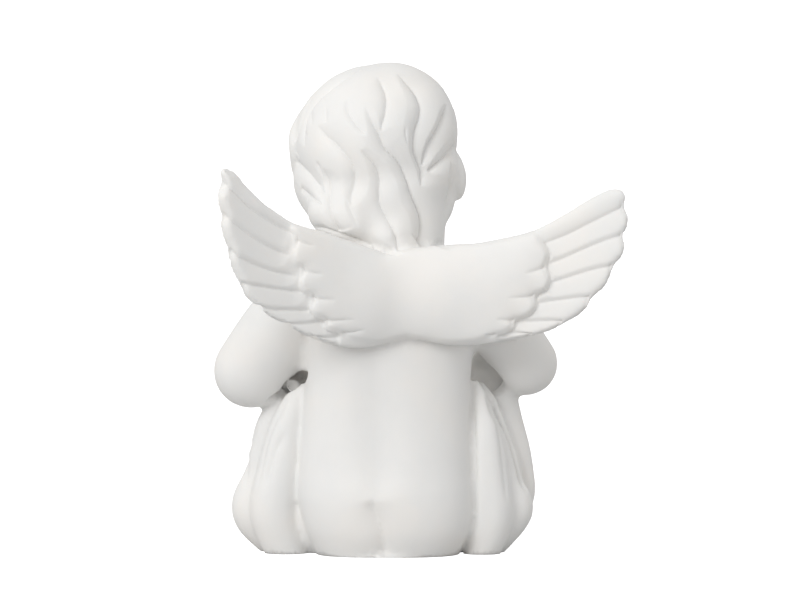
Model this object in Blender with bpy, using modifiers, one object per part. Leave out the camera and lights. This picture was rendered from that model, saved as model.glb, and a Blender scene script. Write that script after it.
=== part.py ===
"""A seated cherub in white porcelain, cast as one piece.

It sits on the floor with its knees drawn up under a cloth, its forearms folded on the knees
and its wings half spread. It faces -Y, and +X is its own left.

Every size below HEIGHT is a proportion, in hundredths of the height. The back elevation is
drawn as an eye sees it from EYE_RISE degrees above and EYE_DISTANCE behind: a pair (x, z)
there is a line of sight, and the form gives it its depth.
"""

import math

import bmesh
import bpy
import numpy as np
from mathutils import Euler, Matrix, Vector
from mathutils.bvhtree import BVHTree

HEIGHT = 0.100  # metres, floor to crown
TRIANGLES = 9400
VOXEL = 0.5  # cell of the fused surface

EYE_RISE = math.radians(3)
EYE_DISTANCE = 1500
EYE_LEVEL = 51.7  # the height that the eye looks at

HEAD_CENTRE = (2.2, -3.5, 80.0)
HEAD_TURN = (-2, -9, 16)  # degrees: nod, crown to -X, face to +X

# A section is z, centre x, centre y, half width, half depth. A station of a limb or a fold is
# x, y, z, radius. A ball is its centre, its radii and the degrees that it is turned by.
TRUNK = {
    "sections": [
        (-3, 0.2, 1.5, 13.0, 10.0),
        (2, 0.0, 1.6, 15.6, 12.2),
        (6, 0.1, 1.6, 17.2, 13.3),
        (12, 0.6, 1.4, 18.0, 13.6),
        (18, 0.7, 0.8, 17.8, 13.0),
        (27, 0.5, 0.6, 17.3, 12.2),
        (36, 0.1, 1.0, 17.0, 11.8),
        (46, -0.1, 1.4, 17.2, 11.6),
        (55, -0.4, 1.2, 15.5, 10.0),
        (61, -0.4, 0.6, 10.0, 7.5),
    ],
    "shoulder_line": [(-13, 0.0, 54, 7.8), (0, 1.0, 56, 8.6), (13, 1.8, 54, 7.8)],
    "yoke": [(-14, 7.0, 58.6, 3.6), (-6, 9.0, 59.8, 4.4), (2, 8.4, 59.0, 4.0)],
    "neck": [(-0.3, 0.5, 55, 9.5), (0.5, 0.4, 62, 10.0), (1.0, 0.6, 70, 11.0)],
    "arms": [
        [(14.8, 2.2, 53.4, 8.3), (21.9, -0.4, 45.8, 8.1), (28.1, -3.0, 37.1, 7.8)],
        [(28.1, -3.0, 37.1, 7.8), (19.3, -15.2, 37.2, 6.6), (8.5, -30.0, 37.4, 4.2)],
        [(-15.6, -0.8, 53.2, 8.0), (-22.6, -3.8, 46.0, 7.2), (-27.2, -6.0, 38.4, 7.5)],
        [(-26.9, -6.0, 38.6, 7.8), (-18.8, -16.4, 37.5, 6.6), (-9.0, -29.0, 36.2, 4.2)],
    ],
}

CLOTH = {
    "sections": [
        (-4, 1.8, -15.0, 17.0, 15.0),
        (0, 1.8, -15.6, 24.6, 20.6),
        (3, 1.2, -16.0, 28.2, 22.6),
        (8, 0.9, -15.6, 30.0, 22.8),
        (13, 0.0, -15.0, 29.6, 21.6),
        (18, -0.1, -14.0, 29.3, 20.2),
        (24, -0.1, -13.0, 27.6, 18.0),
        (29, -0.5, -12.0, 25.4, 15.6),
        (33, -0.9, -11.0, 21.0, 12.5),
    ],
    "legs": [
        [(10, -4, 20, 10), (14.5, -17, 25, 9.4), (13.5, -24, 24.6, 9.2)],
        [(13.5, -24, 24, 9), (14, -29, 15, 8), (14, -32, 6, 7)],
        [(-10, -4, 20, 10), (-14.5, -17, 25, 9.4), (-13.5, -24, 24.6, 9.2)],
        [(-13.5, -24, 24, 9), (-14, -29, 15, 8), (-14, -32, 6, 7)],
    ],
    "folds": [
        [(-17.6, 0.5, 35, 1.0), (-18.7, 1.4, 31, 1.9), (-20.2, 2.2, 24, 3.1), (-20.9, 2.6, 13, 3.9),
         (-20.2, 2.6, 6, 4.0), (-18.6, 2.4, 0, 3.6)],
        [(-19.4, -2.6, 34, 1.4), (-22.8, -2.2, 28, 2.2), (-25.2, -2.0, 20, 2.5), (-26.2, -2.0, 12, 2.9),
         (-25.0, -2, 5, 3.5), (-21.2, -2, 0, 3.0)],
        [(-22.6, -8, 33, 3.6), (-24.6, -8, 26, 3.2), (-27.2, -8, 18, 2.9), (-27.4, -8, 9, 2.8),
         (-21.4, -8, 1, 2.8)],
        [(18.0, 0.5, 33, 2.2), (20.6, 0.8, 26, 3.6), (22.2, 0.9, 16, 4.8), (23.2, 1.0, 8, 5.0),
         (20.6, 0.6, 0, 4.2)],
        [(20.0, -4, 32, 3.0), (23.6, -4.4, 25, 3.8), (25.6, -4.6, 16, 3.9), (27.4, -4.4, 8.0, 4.8),
         (23.2, -4.4, 0.6, 4.2)],
    ],
}

HANDS_AND_FEET = {
    "wrist": {1: (8.5, -30.0, 37.4), -1: (-9.0, -29.0, 36.2)},
    "finger_tips": {1: (-1.5, -34.0, 37.8), -1: (1.0, -31.5, 33.6)},
    "finger_radius": 1.5,
    "finger_step": {1: (-1.6, 0.9), -1: (-1.4, 0.5)},
    "toes": 5,
    "toe_step": 2.1,
}

HEAD = {
    "skull": [
        ((3.2, -1.5, 83.1), (16.3, 16.6, 16.6)),
        ((-0.3, -2.5, 86.0), (14.2, 15.0, 14.3)),
        ((-2.2, -0.5, 78.8), (12.2, 12.6, 11.0)),
        ((6.6, -2.0, 76.4), (13.0, 13.6, 11.4)),
        ((2.8, 1.6, 71.6), (14.2, 11.8, 9.8)),
        ((-8.6, -1.4, 72.4), (5.2, 6.0, 6.6)),
    ],
    "lock_ends": [
        ((7.4, 6.4, 70.0), (8.2, 8.0, 6.2), (0, -18, 0)),
        ((-3.0, 6.6, 69.4), (4.6, 7.4, 6.6), (0, -6, 0)),
    ],
    "nape": [(1.2, 2.0, 74, 12.4), (0.0, 2.0, 68, 11.8), (-0.6, 1.8, 62, 11.0)],
    "ear": ((-13.6, -3.4, 77.2), (2.3, 4.0, 5.4), (0, 6, 10)),
    "face": [
        ((0, -4.6, -5.6), (12.8, 11.4, 11.0)),
        ((0, -6.2, 3.4), (12.6, 10.0, 10.0)),
        ((0, -11.6, -12.8), (4.8, 3.8, 3.6)),
        ((6.8, -9.8, -7.0), (5.4, 5.2, 4.9)),
        ((-6.8, -9.8, -7.0), (5.4, 5.2, 4.9)),
    ],
    "feature_balls": [
        ((0, -16.9, -4.0), (1.9, 1.6, 1.5)),
        ((1.9, -15.7, -4.5), (1.1, 1.4, 1.0)),
        ((-1.9, -15.7, -4.5), (1.1, 1.4, 1.0)),
        ((5.4, -13.0, -0.6), (3.1, 2.6, 2.3), (0, 4, 12)),
        ((-5.4, -13.0, -0.6), (3.1, 2.6, 2.3), (0, -4, -12)),
    ],
    "feature_ropes": [
        [(0, -14.6, 2.6, 1.5), (0, -15.6, -0.6, 1.3), (0, -16.8, -3.6, 1.6)],
        [(2.4, -15.2, 2.8, 0.6), (5.4, -15.2, 3.7, 0.8), (8.6, -13.2, 2.6, 0.5)],
        [(-2.4, -15.2, 2.8, 0.6), (-5.4, -15.2, 3.7, 0.8), (-8.6, -13.2, 2.6, 0.5)],
        [(-3.0, -14.2, -8.1, 0.5), (-1.2, -15.7, -7.7, 0.8), (0, -15.9, -8.0, 0.75),
         (1.2, -15.7, -7.7, 0.8),
         (3.0, -14.2, -8.1, 0.5)],
        [(-2.4, -14.4, -9.0, 0.6), (0, -15.5, -9.6, 1.0), (2.4, -14.4, -9.0, 0.6)],
    ],
}

# A lock of the fringe: its points as azimuth and elevation on the head, its radius and how
# far its end lifts
FRINGE = {
    "locks": [  # azimuth and elevation of each point, radius, how far the end lifts
        ([(-52, 52), (-66, 40), (-65, 28), (-55, 20), (-48, 23)], 3.1, 0.0),
        ([(-28, 52), (-42, 40), (-41, 28), (-31, 20), (-24, 23)], 3.1, 0.0),
        ([(-24, 52), (-10, 40), (-11, 28), (-21, 20), (-28, 23)], 3.1, 0.0),
        ([(20, 52), (6, 40), (7, 28), (17, 20), (24, 23)], 3.1, 0.0),
        ([(24, 52), (38, 40), (37, 28), (27, 20), (20, 23)], 3.1, 0.0),
        ([(68, 52), (54, 40), (55, 28), (65, 20), (72, 23)], 3.1, 0.0),
        ([(-8, 62), (4, 46), (-4, 32), (4, 22), (13, 24)], 3.3, 0.6),
        ([(84, 34), (78, 16), (86, 0), (76, -14), (69, -12)], 3.2, 0.0),
        ([(-78, 34), (-72, 16), (-80, 0), (-70, -14), (-63, -12)], 3.2, 0.0),
        ([(106, 20), (100, 2), (106, -14), (98, -28), (90, -28)], 3.2, 0.0),
    ],
    "sunk": 0.62,
    "thinning": 0.62,
}

# A wing is a blade drawn on the back elevation. It rises from the spine by sweep[0] * d +
# sweep[1] * d * d, d being the distance out. The rim is the edge of the short feathers on its
# root, the lines part the long feathers and the short lines part the short ones.
WINGS = {
    "left": {
        "spine": (-2.0, 12.6),
        "sweep": (0.40, 0.0050),
        "outline": [
            (-11.0, 59.0), (-3.5, 60.8), (0.2, 61.4), (7.2, 63.7), (13.0, 65.7), (18.8, 67.3),
            (22.7, 69.7), (25.7, 71.9), (28.8, 75.0),
            (30.8, 77.4), (32.4, 78.6), (33.8, 78.8), (34.3, 77.6), (34.1, 75.7), (35.0, 73.2),
            (34.8, 71.3), (34.1, 69.1),
            (34.3, 66.8), (33.7, 64.4), (32.8, 62.0), (32.7, 59.8), (31.7, 57.3), (30.4, 54.9),
            (29.1, 52.2), (26.7, 50.2),
            (24.3, 48.2), (21.0, 46.6), (17.8, 44.8), (13.8, 43.2), (10.4, 42.3), (7.0, 41.9),
            (3.1, 42.1), (-0.4, 42.9),
            (-3.8, 43.7), (-11.0, 45.0),
        ],
        "lines": [
            [(34.2, 75.8), (31.8, 74.5), (27.5, 70.3), (23.0, 67.3), (18.8, 65.0)],
            [(34.2, 69.1), (31.8, 68.0), (27.4, 64.6), (23.6, 62.3), (19.9, 60.7)],
            [(32.9, 62.0), (30.3, 60.5), (26.2, 58.6), (22.6, 57.4), (18.4, 56.5)],
            [(30.5, 54.9), (27.0, 54.6), (22.4, 53.9), (16.6, 53.2)],
            [(26.8, 50.3), (23.4, 49.7), (18.8, 49.6), (14.4, 49.6)],
            [(21.1, 46.6), (17.6, 46.8), (13.6, 47.1), (11.6, 47.3)],
            [(15.6, 43.9), (12.4, 43.9), (9.6, 44.1)],
        ],
        "rim": [
            (-15.0, 59.0), (-3.5, 60.8), (0.2, 61.4), (7.2, 63.7), (13.0, 65.7), (18.2, 67.6),
            (19.7, 66.4), (18.9, 64.1), (19.6, 61.4),
            (19.0, 59.2), (17.6, 58.0), (18.2, 55.6), (17.4, 53.4), (15.6, 52.2), (15.9, 49.8),
            (14.8, 48.2), (13.0, 47.4),
            (12.4, 45.6), (9.4, 44.7), (8.4, 43.8), (5.0, 43.0), (2.0, 42.6), (-0.4, 42.9),
            (-3.8, 43.7),
            (-15.0, 45.0),
        ],
        "short_lines": [
            [(18.9, 64.0), (17.0, 63.3), (14.7, 62.7)],
            [(17.6, 58.0), (15.8, 57.3), (13.0, 57.0)],
            [(15.5, 52.2), (13.4, 51.8), (10.4, 51.8)],
            [(12.9, 47.4), (10.8, 47.4), (6.6, 47.7)],
            [(9.3, 44.7), (7.2, 45.0), (4.6, 45.7)],
        ],
        "shoulder_top": [(-4.5, 60.6), (-1, 61.3), (3.0, 62.4), (10.0, 64.8), (18.0, 66.6)],
        "shoulder_bottom": [(-4.5, 43.8), (-1, 43.0), (4.0, 42.4), (9.5, 44.6), (14.5, 51.5)],
        "upper": [(19.0, 67.5), (13.0, 65.9), (7.2, 63.9), (0.2, 61.6), (-3.0, 61.0)],
        "lower": [(17.8, 44.7), (13.8, 43.1), (10.4, 42.2), (7.0, 41.8), (3.1, 42.0), (-0.4, 42.8)],
    },
    "right": {
        "spine": (-5.0, 13.1),
        "sweep": (0.16, 0.0032),
        "outline": [
            (4.0, 60.5), (-3.5, 62.2), (-5.7, 62.5), (-10.3, 63.1), (-14.4, 63.1), (-18.0, 63.4),
            (-22.9, 64.3),
            (-27.8, 65.4), (-31.4, 66.8), (-36.3, 69.5), (-41.2, 72.5), (-44.9, 74.3), (-47.3, 74.4),
            (-48.5, 73.0), (-48.2, 70.9), (-49.1, 68.5),
            (-48.9, 66.6), (-48.0, 64.9), (-48.4, 62.8), (-47.9, 60.7), (-46.0, 58.5), (-45.5, 56.6),
            (-44.2, 54.3),
            (-41.6, 52.0), (-40.7, 50.1), (-38.4, 48.2), (-36.0, 46.9), (-34.0, 45.7), (-30.0, 44.4),
            (-26.3, 43.6),
            (-21.4, 42.9), (-16.5, 42.4), (-11.6, 42.6), (-8.2, 43.2), (-3.8, 43.7), (4.0, 45.0),
        ],
        "lines": [
            [(-48.1, 70.8), (-45.0, 69.4), (-40.0, 66.9), (-36.0, 64.9), (-31.0, 63.0)],
            [(-47.9, 64.9), (-45.0, 64.2), (-40.0, 62.2), (-36.0, 60.4), (-31.5, 58.6)],
            [(-45.9, 58.5), (-43.0, 58.2), (-39.0, 57.1), (-35.0, 55.8), (-31.5, 54.6)],
            [(-41.6, 52.0), (-39.0, 52.2), (-35.0, 51.7), (-31.5, 51.2), (-28.5, 50.6)],
            [(-36.0, 47.0), (-33.0, 47.4), (-29.5, 47.3), (-25.0, 47.2)],
            [(-29.5, 44.4), (-27.0, 44.8), (-24.0, 45.0), (-22.0, 45.0)],
        ],
        "rim": [
            (8.0, 60.5), (-3.5, 62.2), (-5.7, 62.5), (-10.3, 63.1), (-14.4, 63.1), (-18.0, 63.4),
            (-22.9, 64.3),
            (-27.8, 65.5), (-30.0, 65.7),
            (-31.6, 63.6), (-32.8, 61.0), (-32.3, 58.5), (-33.1, 56.1), (-32.3, 53.6), (-30.1, 52.5),
            (-30.3, 50.4),
            (-28.6, 48.3), (-26.0, 47.4), (-25.8, 46.1), (-23.8, 44.8), (-22.2, 44.4), (-20.2, 43.6),
            (-16.5, 42.8),
            (-11.6, 42.6), (-8.2, 43.2), (-3.8, 43.7), (8.0, 45.0),
        ],
        "short_lines": [
            [(-32.3, 58.5), (-30.2, 57.7), (-27.8, 57.1)],
            [(-30.1, 52.5), (-27.6, 52.2), (-24.3, 52.1)],
            [(-26.0, 47.4), (-24.4, 47.5), (-21.9, 47.8)],
            [(-22.3, 44.4), (-21.2, 44.4), (-19.6, 44.6)],
        ],
        "shoulder_top": [(-1.5, 62.2), (-5.0, 62.9), (-12.0, 63.2), (-22.0, 64.3), (-29.5, 65.4)],
        "shoulder_bottom": [(-1.5, 44.0), (-5.0, 43.3), (-12.0, 42.7), (-20.0, 44.6), (-27.5, 52.0)],
        "upper": [(-7.5, 62.6), (-10.3, 63.3), (-14.4, 63.3)],
        "lower": [(-5.3, 43.4), (-8.2, 43.1), (-11.6, 42.5), (-16.5, 42.3), (-21.4, 42.8),
         (-26.3, 43.5)],
    },
}

WING_SHAPE = {
    "blade_thickness": (2.6, 2.3),  # at the spine and at the tips
    "edge_radius": 1.5,
    "rim_height": 1.25,
    "rim_rise": 2.6,  # how much the short feathers thicken away from their tips
    "rim_round": 7.0,
    "shoulder": (6.0, 4.2),
    "valley": 1.6,
    "ease_passes": 90,
}

# A line of the hair at the back: its path on the back elevation, its depth, its width towards
# +X and towards -X, and the shares of it that fade at its start and its end.
HAIR_LINES = [
    ([(2.2, 97.3), (0.8, 95.2), (0.2, 92.8), (0.5, 89.8), (1.2, 87.1),
    (1.0, 84.3)], 1.1, 1.3, 2.6, (0.25, 0.2)),
    ([(4.9, 91.7), (3.3, 88.1), (1.9, 85.7), (0.5, 82.7), (-1.4, 80.8), (-3.0, 78.9), (-4.5, 76.2),
    (-5.3, 73.7),
      (-6.4, 71.3), (-7.3, 69.1), (-7.5, 66.6), (-7.2, 64.5),
      (-6.3, 63.1)], 2.0, 1.9, 3.2, (0.3, 0.02)),
    ([(-1.9, 97.9), (-3.8, 96.6), (-5.4, 95.2), (-6.5, 93.3), (-7.1, 91.1), (-6.8, 88.7),
    (-6.1, 86.2), (-5.9, 83.8),
      (-6.0, 81.6), (-6.7, 79.7), (-7.3, 77.8), (-7.3, 75.9),
      (-6.8, 74.3)], 1.7, 1.8, 2.8, (0.2, 0.15)),
    ([(-12.0, 91.7), (-11.8, 89.0), (-10.5, 86.0), (-8.8, 83.2), (-7.9, 80.8),
    (-7.5, 78.6)], 1.6, 1.5, 1.6, (0.25, 0.1)),
    ([(-14.3, 84.1), (-13.3, 81.9), (-11.2, 80.1), (-9.3, 78.5),
    (-8.2, 77.7)], 1.6, 1.4, 1.4, (0.1, 0.25)),
    ([(-13.1, 81.1), (-13.3, 77.8), (-12.9, 74.8), (-12.1, 71.3),
    (-11.5, 68.8)], 0.9, 1.2, 1.0, (0.2, 0.3)),
    ([(6.4, 82.4), (4.9, 81.5), (3.4, 79.8), (2.3, 78.1), (1.8, 76.2), (2.0, 74.0), (1.9, 71.5),
    (1.1, 69.5),
      (-0.3, 67.4), (-1.4, 65.8), (-1.9, 64.1)], 1.7, 1.6, 3.0, (0.2, 0.02)),
    ([(8.4, 92.8), (8.5, 90.9), (7.8, 89.2), (6.5, 87.3), (5.1, 86.0),
    (3.9, 85.3)], 0.7, 0.9, 2.2, (0.4, 0.4)),
    ([(14.3, 87.3), (13.1, 85.4), (11.2, 83.6), (9.5, 81.7), (8.1, 79.8), (7.2, 77.9), (7.1, 75.6),
    (7.6, 73.3)],
     1.0, 1.5, 2.6, (0.3, 0.3)),
    ([(8.8, 73.5), (8.4, 71.8), (7.6, 70.0), (6.7, 67.9), (6.1, 66.2)], 0.45, 1.4, 0.9, (0.5, 0.5)),
    ([(12.6, 91.3), (12.8, 89.6), (12.7, 87.6)], 0.35, 0.9, 0.6, (0.4, 0.4)),
    ([(18.0, 86.6), (17.3, 85.9), (16.5, 85.2)], 0.4, 0.9, 0.7, (0.4, 0.4)),
    ([(16.0, 92.5), (15.9, 89.8), (15.5, 87.6)], 0.4, 1.2, 0.8, (0.4, 0.4)),
    ([(19.1, 80.0), (18.0, 78.8), (16.5, 77.4), (14.9, 75.6), (13.6, 74.1),
    (12.8, 72.6)], 1.0, 1.0, 1.8, (0.1, 0.3)),
    ([(14.9, 80.2), (14.1, 78.5), (13.3, 76.3)], 0.5, 1.0, 0.6, (0.4, 0.4)),
    ([(13.3, 78.6), (12.7, 76.4), (12.4, 74.1), (12.1, 71.7), (11.6, 68.7), (10.8, 66.5),
    (9.9, 65.1)], 1.2, 1.6, 2.2, (0.3, 0.05)),
    ([(18.0, 74.5), (16.5, 73.2), (14.7, 72.1), (13.1, 70.7)], 0.7, 1.2, 0.8, (0.1, 0.3)),
    ([(-3.8, 88.1), (-3.7, 86.1), (-4.1, 83.9), (-5.0, 82.1), (-5.6, 80.9)], 0.6, 0.7, 1.2, (0.4, 0.1)),
]

# Other lines on the back elevation, in the same form as those of the hair
SPINE_LINE = ([(0.5, 44), (0.8, 30), (1.4, 16), (2.2, 10)], 0.5, 4.0, 4.0, (0.3, 0.5))
SEAT_LINE = ([(3.6, 11.0), (3.1, 8.6), (1.6, 5.0), (1.0, 2.0), (0.8, -1)], 1.5, 2.0, 1.3, (0.45, 0.01))
HIP_LINES = [
    ([(-17.2, 40), (-17.3, 30), (-17.9, 20), (-17.9, 10), (-17.2, 2)], 1.2, 0.7, 0.8, (0.2, 0.4)),
    ([(18.0, 30), (18.7, 20), (18.9, 10), (17.8, 2)], 0.9, 0.8, 0.8, (0.5, 0.2)),
    ([(-20.6, 31.3), (-23.9, 24.2), (-24.7, 17), (-23.9, 8)], 1.2, 0.9, 1.2, (0.3, 0.4)),
]
UNDER_ARMS = [
    ([(16.4, 36.8), (18.6, 34.9), (21.5, 32.9), (25.0, 31.0)], 2.4, 1.1, 1.1, (0.2, 0.5)),
    ([(-17.9, 41.8), (-18.4, 39.0), (-19.8, 36.4), (-21.6, 34.2)], 3.2, 2.0, 2.0, (0.25, 0.4)),
]
CLOTH_LINES = [
    ([(20.4, 32.1), (24.6, 23.4), (26.7, 13.0)], 0.5, 1.2, 0.9, (0.3, 0.3)),
    ([(20.8, 25.0), (23.6, 19.4), (25.3, 13.2)], 0.5, 1.2, 0.9, (0.3, 0.3)),
    ([(26.7, 27.2), (28.6, 20.4), (29.2, 13.0)], 0.5, 1.2, 0.9, (0.3, 0.3)),
]

# Grooves of the cloth in front: height and sag of each sweep over the shins, then the top and
# the foot of each upright one, across on the front and along on the sides
SHIN_SWEEPS = [(25, 6), (18, 8), (11, 6)]
FRONT_FALLS = [(10, 8.5), (15.5, 17), (19, 23)]
SIDE_FALLS = [(-10, -7.5), (-15, -15), (-19, -23)]

# The crown's grooves: the azimuths, where they start in turn, where they end on the brow and
# behind it, and how far each second one waves
CROWN = {
    "azimuths": range(-110, 130, 20),
    "starts": (80, 66, 74),
    "brow": 30,
    "behind": 2,
    "waves": (-6, 7),
}


def smooth_path(points, count):
    """Rows of numbers on a smooth curve through the given rows."""
    p = np.array(points, float)
    p = np.vstack([2 * p[0] - p[1], p, 2 * p[-1] - p[-2]])
    s = np.linspace(0, len(p) - 3, count)
    i = np.minimum(s.astype(int), len(p) - 4)
    t = (s - i)[:, None]
    a, b, c, d = p[i], p[i + 1], p[i + 2], p[i + 3]
    cubic = 3 * b - a - 3 * c + d
    return 0.5 * (2 * b + (c - a) * t + (2 * a - 5 * b + 4 * c - d) * t**2 + cubic * t**3)


def on_sight(x, z, y):
    """The point at depth y on the line of sight (x, z) of the back elevation."""
    nearer = 1 - y / EYE_DISTANCE
    height = EYE_LEVEL + (z - EYE_LEVEL) * nearer + y * math.sin(EYE_RISE)
    return Vector((x * nearer, y, height))


def seen_from(points):
    """Where points show on the back elevation, the reverse of on_sight."""
    nearer = 1 - points[:, 1] / EYE_DISTANCE
    z = EYE_LEVEL + (points[:, 2] - points[:, 1] * math.sin(EYE_RISE) - EYE_LEVEL) / nearer
    return np.stack([points[:, 0] / nearer, z], 1)


def turned(degrees):
    return Euler([math.radians(a) for a in degrees])


HEAD_PLACE = Matrix.LocRotScale(Vector(HEAD_CENTRE), turned(HEAD_TURN), None)


def vectors(collection, name):
    values = np.empty(len(collection) * 3)
    collection.foreach_get(name, values)
    return values.reshape(-1, 3)


def add_balls(clay, balls, place=None):
    for ball in balls:
        turn = ball[2] if len(ball) > 2 else (0, 0, 0)
        matrix = Matrix.LocRotScale(Vector(ball[0]), turned(turn), Vector(ball[1]))
        if place:
            matrix = place @ matrix
        bmesh.ops.create_uvsphere(clay, u_segments=32, v_segments=20, radius=1, matrix=matrix)


def add_tube(clay, stations, place=None, count=16):
    """A round limb with rounded ends. Each station is x, y, z, radius."""
    rows = smooth_path(stations, count)
    ends = np.radians([86, 65, 45, 25, 10])
    for end, inner in ((0, 1), (-1, -2)):
        out = rows[end, :3] - rows[inner, :3]
        out /= np.linalg.norm(out)
        centre, radius = rows[end, :3], rows[end, 3]
        cap = [(*(centre + out * radius * math.sin(a)), radius * math.cos(a)) for a in ends]
        rows = np.vstack([cap, rows]) if end == 0 else np.vstack([rows, cap[::-1]])
    curve = bpy.data.curves.new("limb", "CURVE")
    curve.dimensions = "3D"
    curve.bevel_depth = 1
    curve.bevel_resolution = 4
    curve.use_fill_caps = True
    spline = curve.splines.new("POLY")
    spline.points.add(len(rows) - 1)
    for point, row in zip(spline.points, rows):
        point.co = (*row[:3], 1)
        point.radius = row[3]
    limb = bpy.data.objects.new("limb", curve)
    bpy.context.scene.collection.objects.link(limb)
    mesh = bpy.data.meshes.new_from_object(limb.evaluated_get(bpy.context.evaluated_depsgraph_get()))
    if place:
        mesh.transform(place)
    clay.from_mesh(mesh)
    bpy.data.objects.remove(limb)
    bpy.data.curves.remove(curve)
    bpy.data.meshes.remove(mesh)


def add_reshaped_ball(clay, shape, across, along):
    """A sphere whose points are moved by shape(t, c, s): t runs 0 to 1 from pole to pole."""
    made = bmesh.ops.create_uvsphere(clay, u_segments=across, v_segments=along, radius=1)
    for vert in made["verts"]:
        x, y, z = vert.co
        ring = math.hypot(x, y)
        c, s = (x / ring, y / ring) if ring > 1e-6 else (0.0, 0.0)
        vert.co = shape((1 - z) / 2, c, s)


def squared(value, power):
    return math.copysign(abs(value) ** power, value)


def add_loft(clay, sections, squareness):
    """An upright form through level sections, closed at both ends."""
    levels = 200
    rows = smooth_path(sections, levels)

    def shape(t, c, s):
        z, x, y, half_width, half_depth = rows[min(int(t * levels), levels - 1)]
        end = min(1, math.sqrt(max(1 - (2 * t - 1) ** 2, 0)) / 0.3)
        wide, deep = squared(c, squareness) * half_width, squared(s, squareness) * half_depth
        return (x + wide * end, y + deep * end, z)

    add_reshaped_ball(clay, shape, 48, 48)


def add_trunk(clay):
    add_loft(clay, TRUNK["sections"], 0.8)
    for stations in (TRUNK["shoulder_line"], TRUNK["yoke"], TRUNK["neck"], *TRUNK["arms"]):
        add_tube(clay, stations)


def add_cloth(clay):
    add_loft(clay, CLOTH["sections"], 0.9)
    for stations in CLOTH["legs"]:
        add_tube(clay, stations)


def add_folds(clay):
    for stations in CLOTH["folds"]:
        add_tube(clay, stations)


def add_hands(clay):
    for side in (1, -1):
        wrist, tips = (np.array(HANDS_AND_FEET[k][side]) for k in ("wrist", "finger_tips"))
        palm = wrist * 0.55 + tips * 0.45
        add_balls(clay, [(palm, (6.0, 4.4, 3.3), (0, side * 6, side * 24))])
        back, up = HANDS_AND_FEET["finger_step"][side]
        radius = HANDS_AND_FEET["finger_radius"]
        first = (2.0, -1.0) if side == 1 else (1.6, 0.0)
        for k in range(4):
            drop = np.array([0, back * k + first[0], up * k + first[1]])
            start = palm + drop + np.array([-side * 2.5, -1.2, 0.2])
            end = tips + drop + np.array([-side * (2.6 - 0.4 * abs(k - 1.5)), -1.0, -0.9])
            middle = (start + end) / 2 + np.array([0, -0.4, 0.7])
            stations = [(*start, radius), (*middle, radius - 0.05), (*end, radius - 0.25)]
            add_tube(clay, stations, count=8)


def add_feet(clay):
    for side in (1, -1):
        foot = ((side * 12.0, -37, 3.6), (5.0, 8.0, 4.4), (-8, 0, side * 8))
        big_toe = ((side * 8.2, -45.0, 2.7), (1.9, 2.4, 2.0), (0, 0, side * 8))
        toes = [
            (
                (side * (8.4 + HANDS_AND_FEET["toe_step"] * k), -44.6 + 0.21 * k * k, 2.4),
                (1.35 - 0.12 * k, 2.0, 1.5),
                (0, 0, side * 8),
            )
            for k in range(HANDS_AND_FEET["toes"])
        ]
        add_balls(clay, [foot, big_toe, *toes])


def add_skull(clay):
    add_balls(clay, HEAD["skull"] + HEAD["lock_ends"])
    add_tube(clay, HEAD["nape"])


def add_fringe(clay, surface):
    """Locks along azimuth and elevation points on the skull, each thinning to its end."""
    centre = HEAD_PLACE @ Vector((0, 0, 0))
    for path, thick, lift in FRINGE["locks"]:
        stations = []
        for t, (azimuth, elevation) in zip(np.linspace(0, 1, 18), smooth_path(path, 18)):
            radius = thick * (1 - FRINGE["thinning"] * t**2)
            point = surface.around_head(azimuth, elevation)
            sunk = FRINGE["sunk"] * radius + 1.6 * max(1 - 3 * t, 0) - lift * t * t
            stations.append((*(point + (centre - point).normalized() * sunk), radius))
        add_tube(clay, stations, count=30)


def add_face(clay):
    add_balls(clay, HEAD["face"], HEAD_PLACE)


def add_features(clay):
    add_balls(clay, HEAD["feature_balls"], HEAD_PLACE)
    for stations in HEAD["feature_ropes"]:
        add_tube(clay, stations, HEAD_PLACE, 12)


def blade_depth(x):
    """How far back a blade lies at x. Both wings rise from one round valley at the spine."""
    rises = []
    for wing, side in ((WINGS["left"], 1), (WINGS["right"], -1)):
        d = side * (x - wing["spine"][0])
        rises.append(wing["spine"][1] + wing["sweep"][0] * d + wing["sweep"][1] * np.maximum(d, 0) ** 2)
    middle, half = (rises[0] + rises[1]) / 2, (rises[0] - rises[1]) / 2
    return middle + np.sqrt(half**2 + WING_SHAPE["valley"] ** 2) - WING_SHAPE["valley"] / 2


def outline_distance(points, outline):
    """How far each (x, z) lies inside a closed outline, negative outside it."""
    ends = np.roll(outline, -1, axis=0)
    nearest = np.full(len(points), 1e9)
    inside = np.zeros(len(points), bool)
    for a, b in zip(outline, ends):
        step = b - a
        t = np.clip((points - a) @ step / (step @ step + 1e-12), 0, 1)
        away = points - a - t[:, None] * step
        nearest = np.minimum(nearest, np.einsum("ij,ij->i", away, away))
        crosses = (a[1] > points[:, 1]) != (b[1] > points[:, 1])
        if abs(step[1]) > 1e-9:
            inside ^= crosses & (points[:, 0] < a[0] + (points[:, 1] - a[1]) / step[1] * step[0])
    return np.sqrt(nearest) * np.where(inside, 1, -1)


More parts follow.
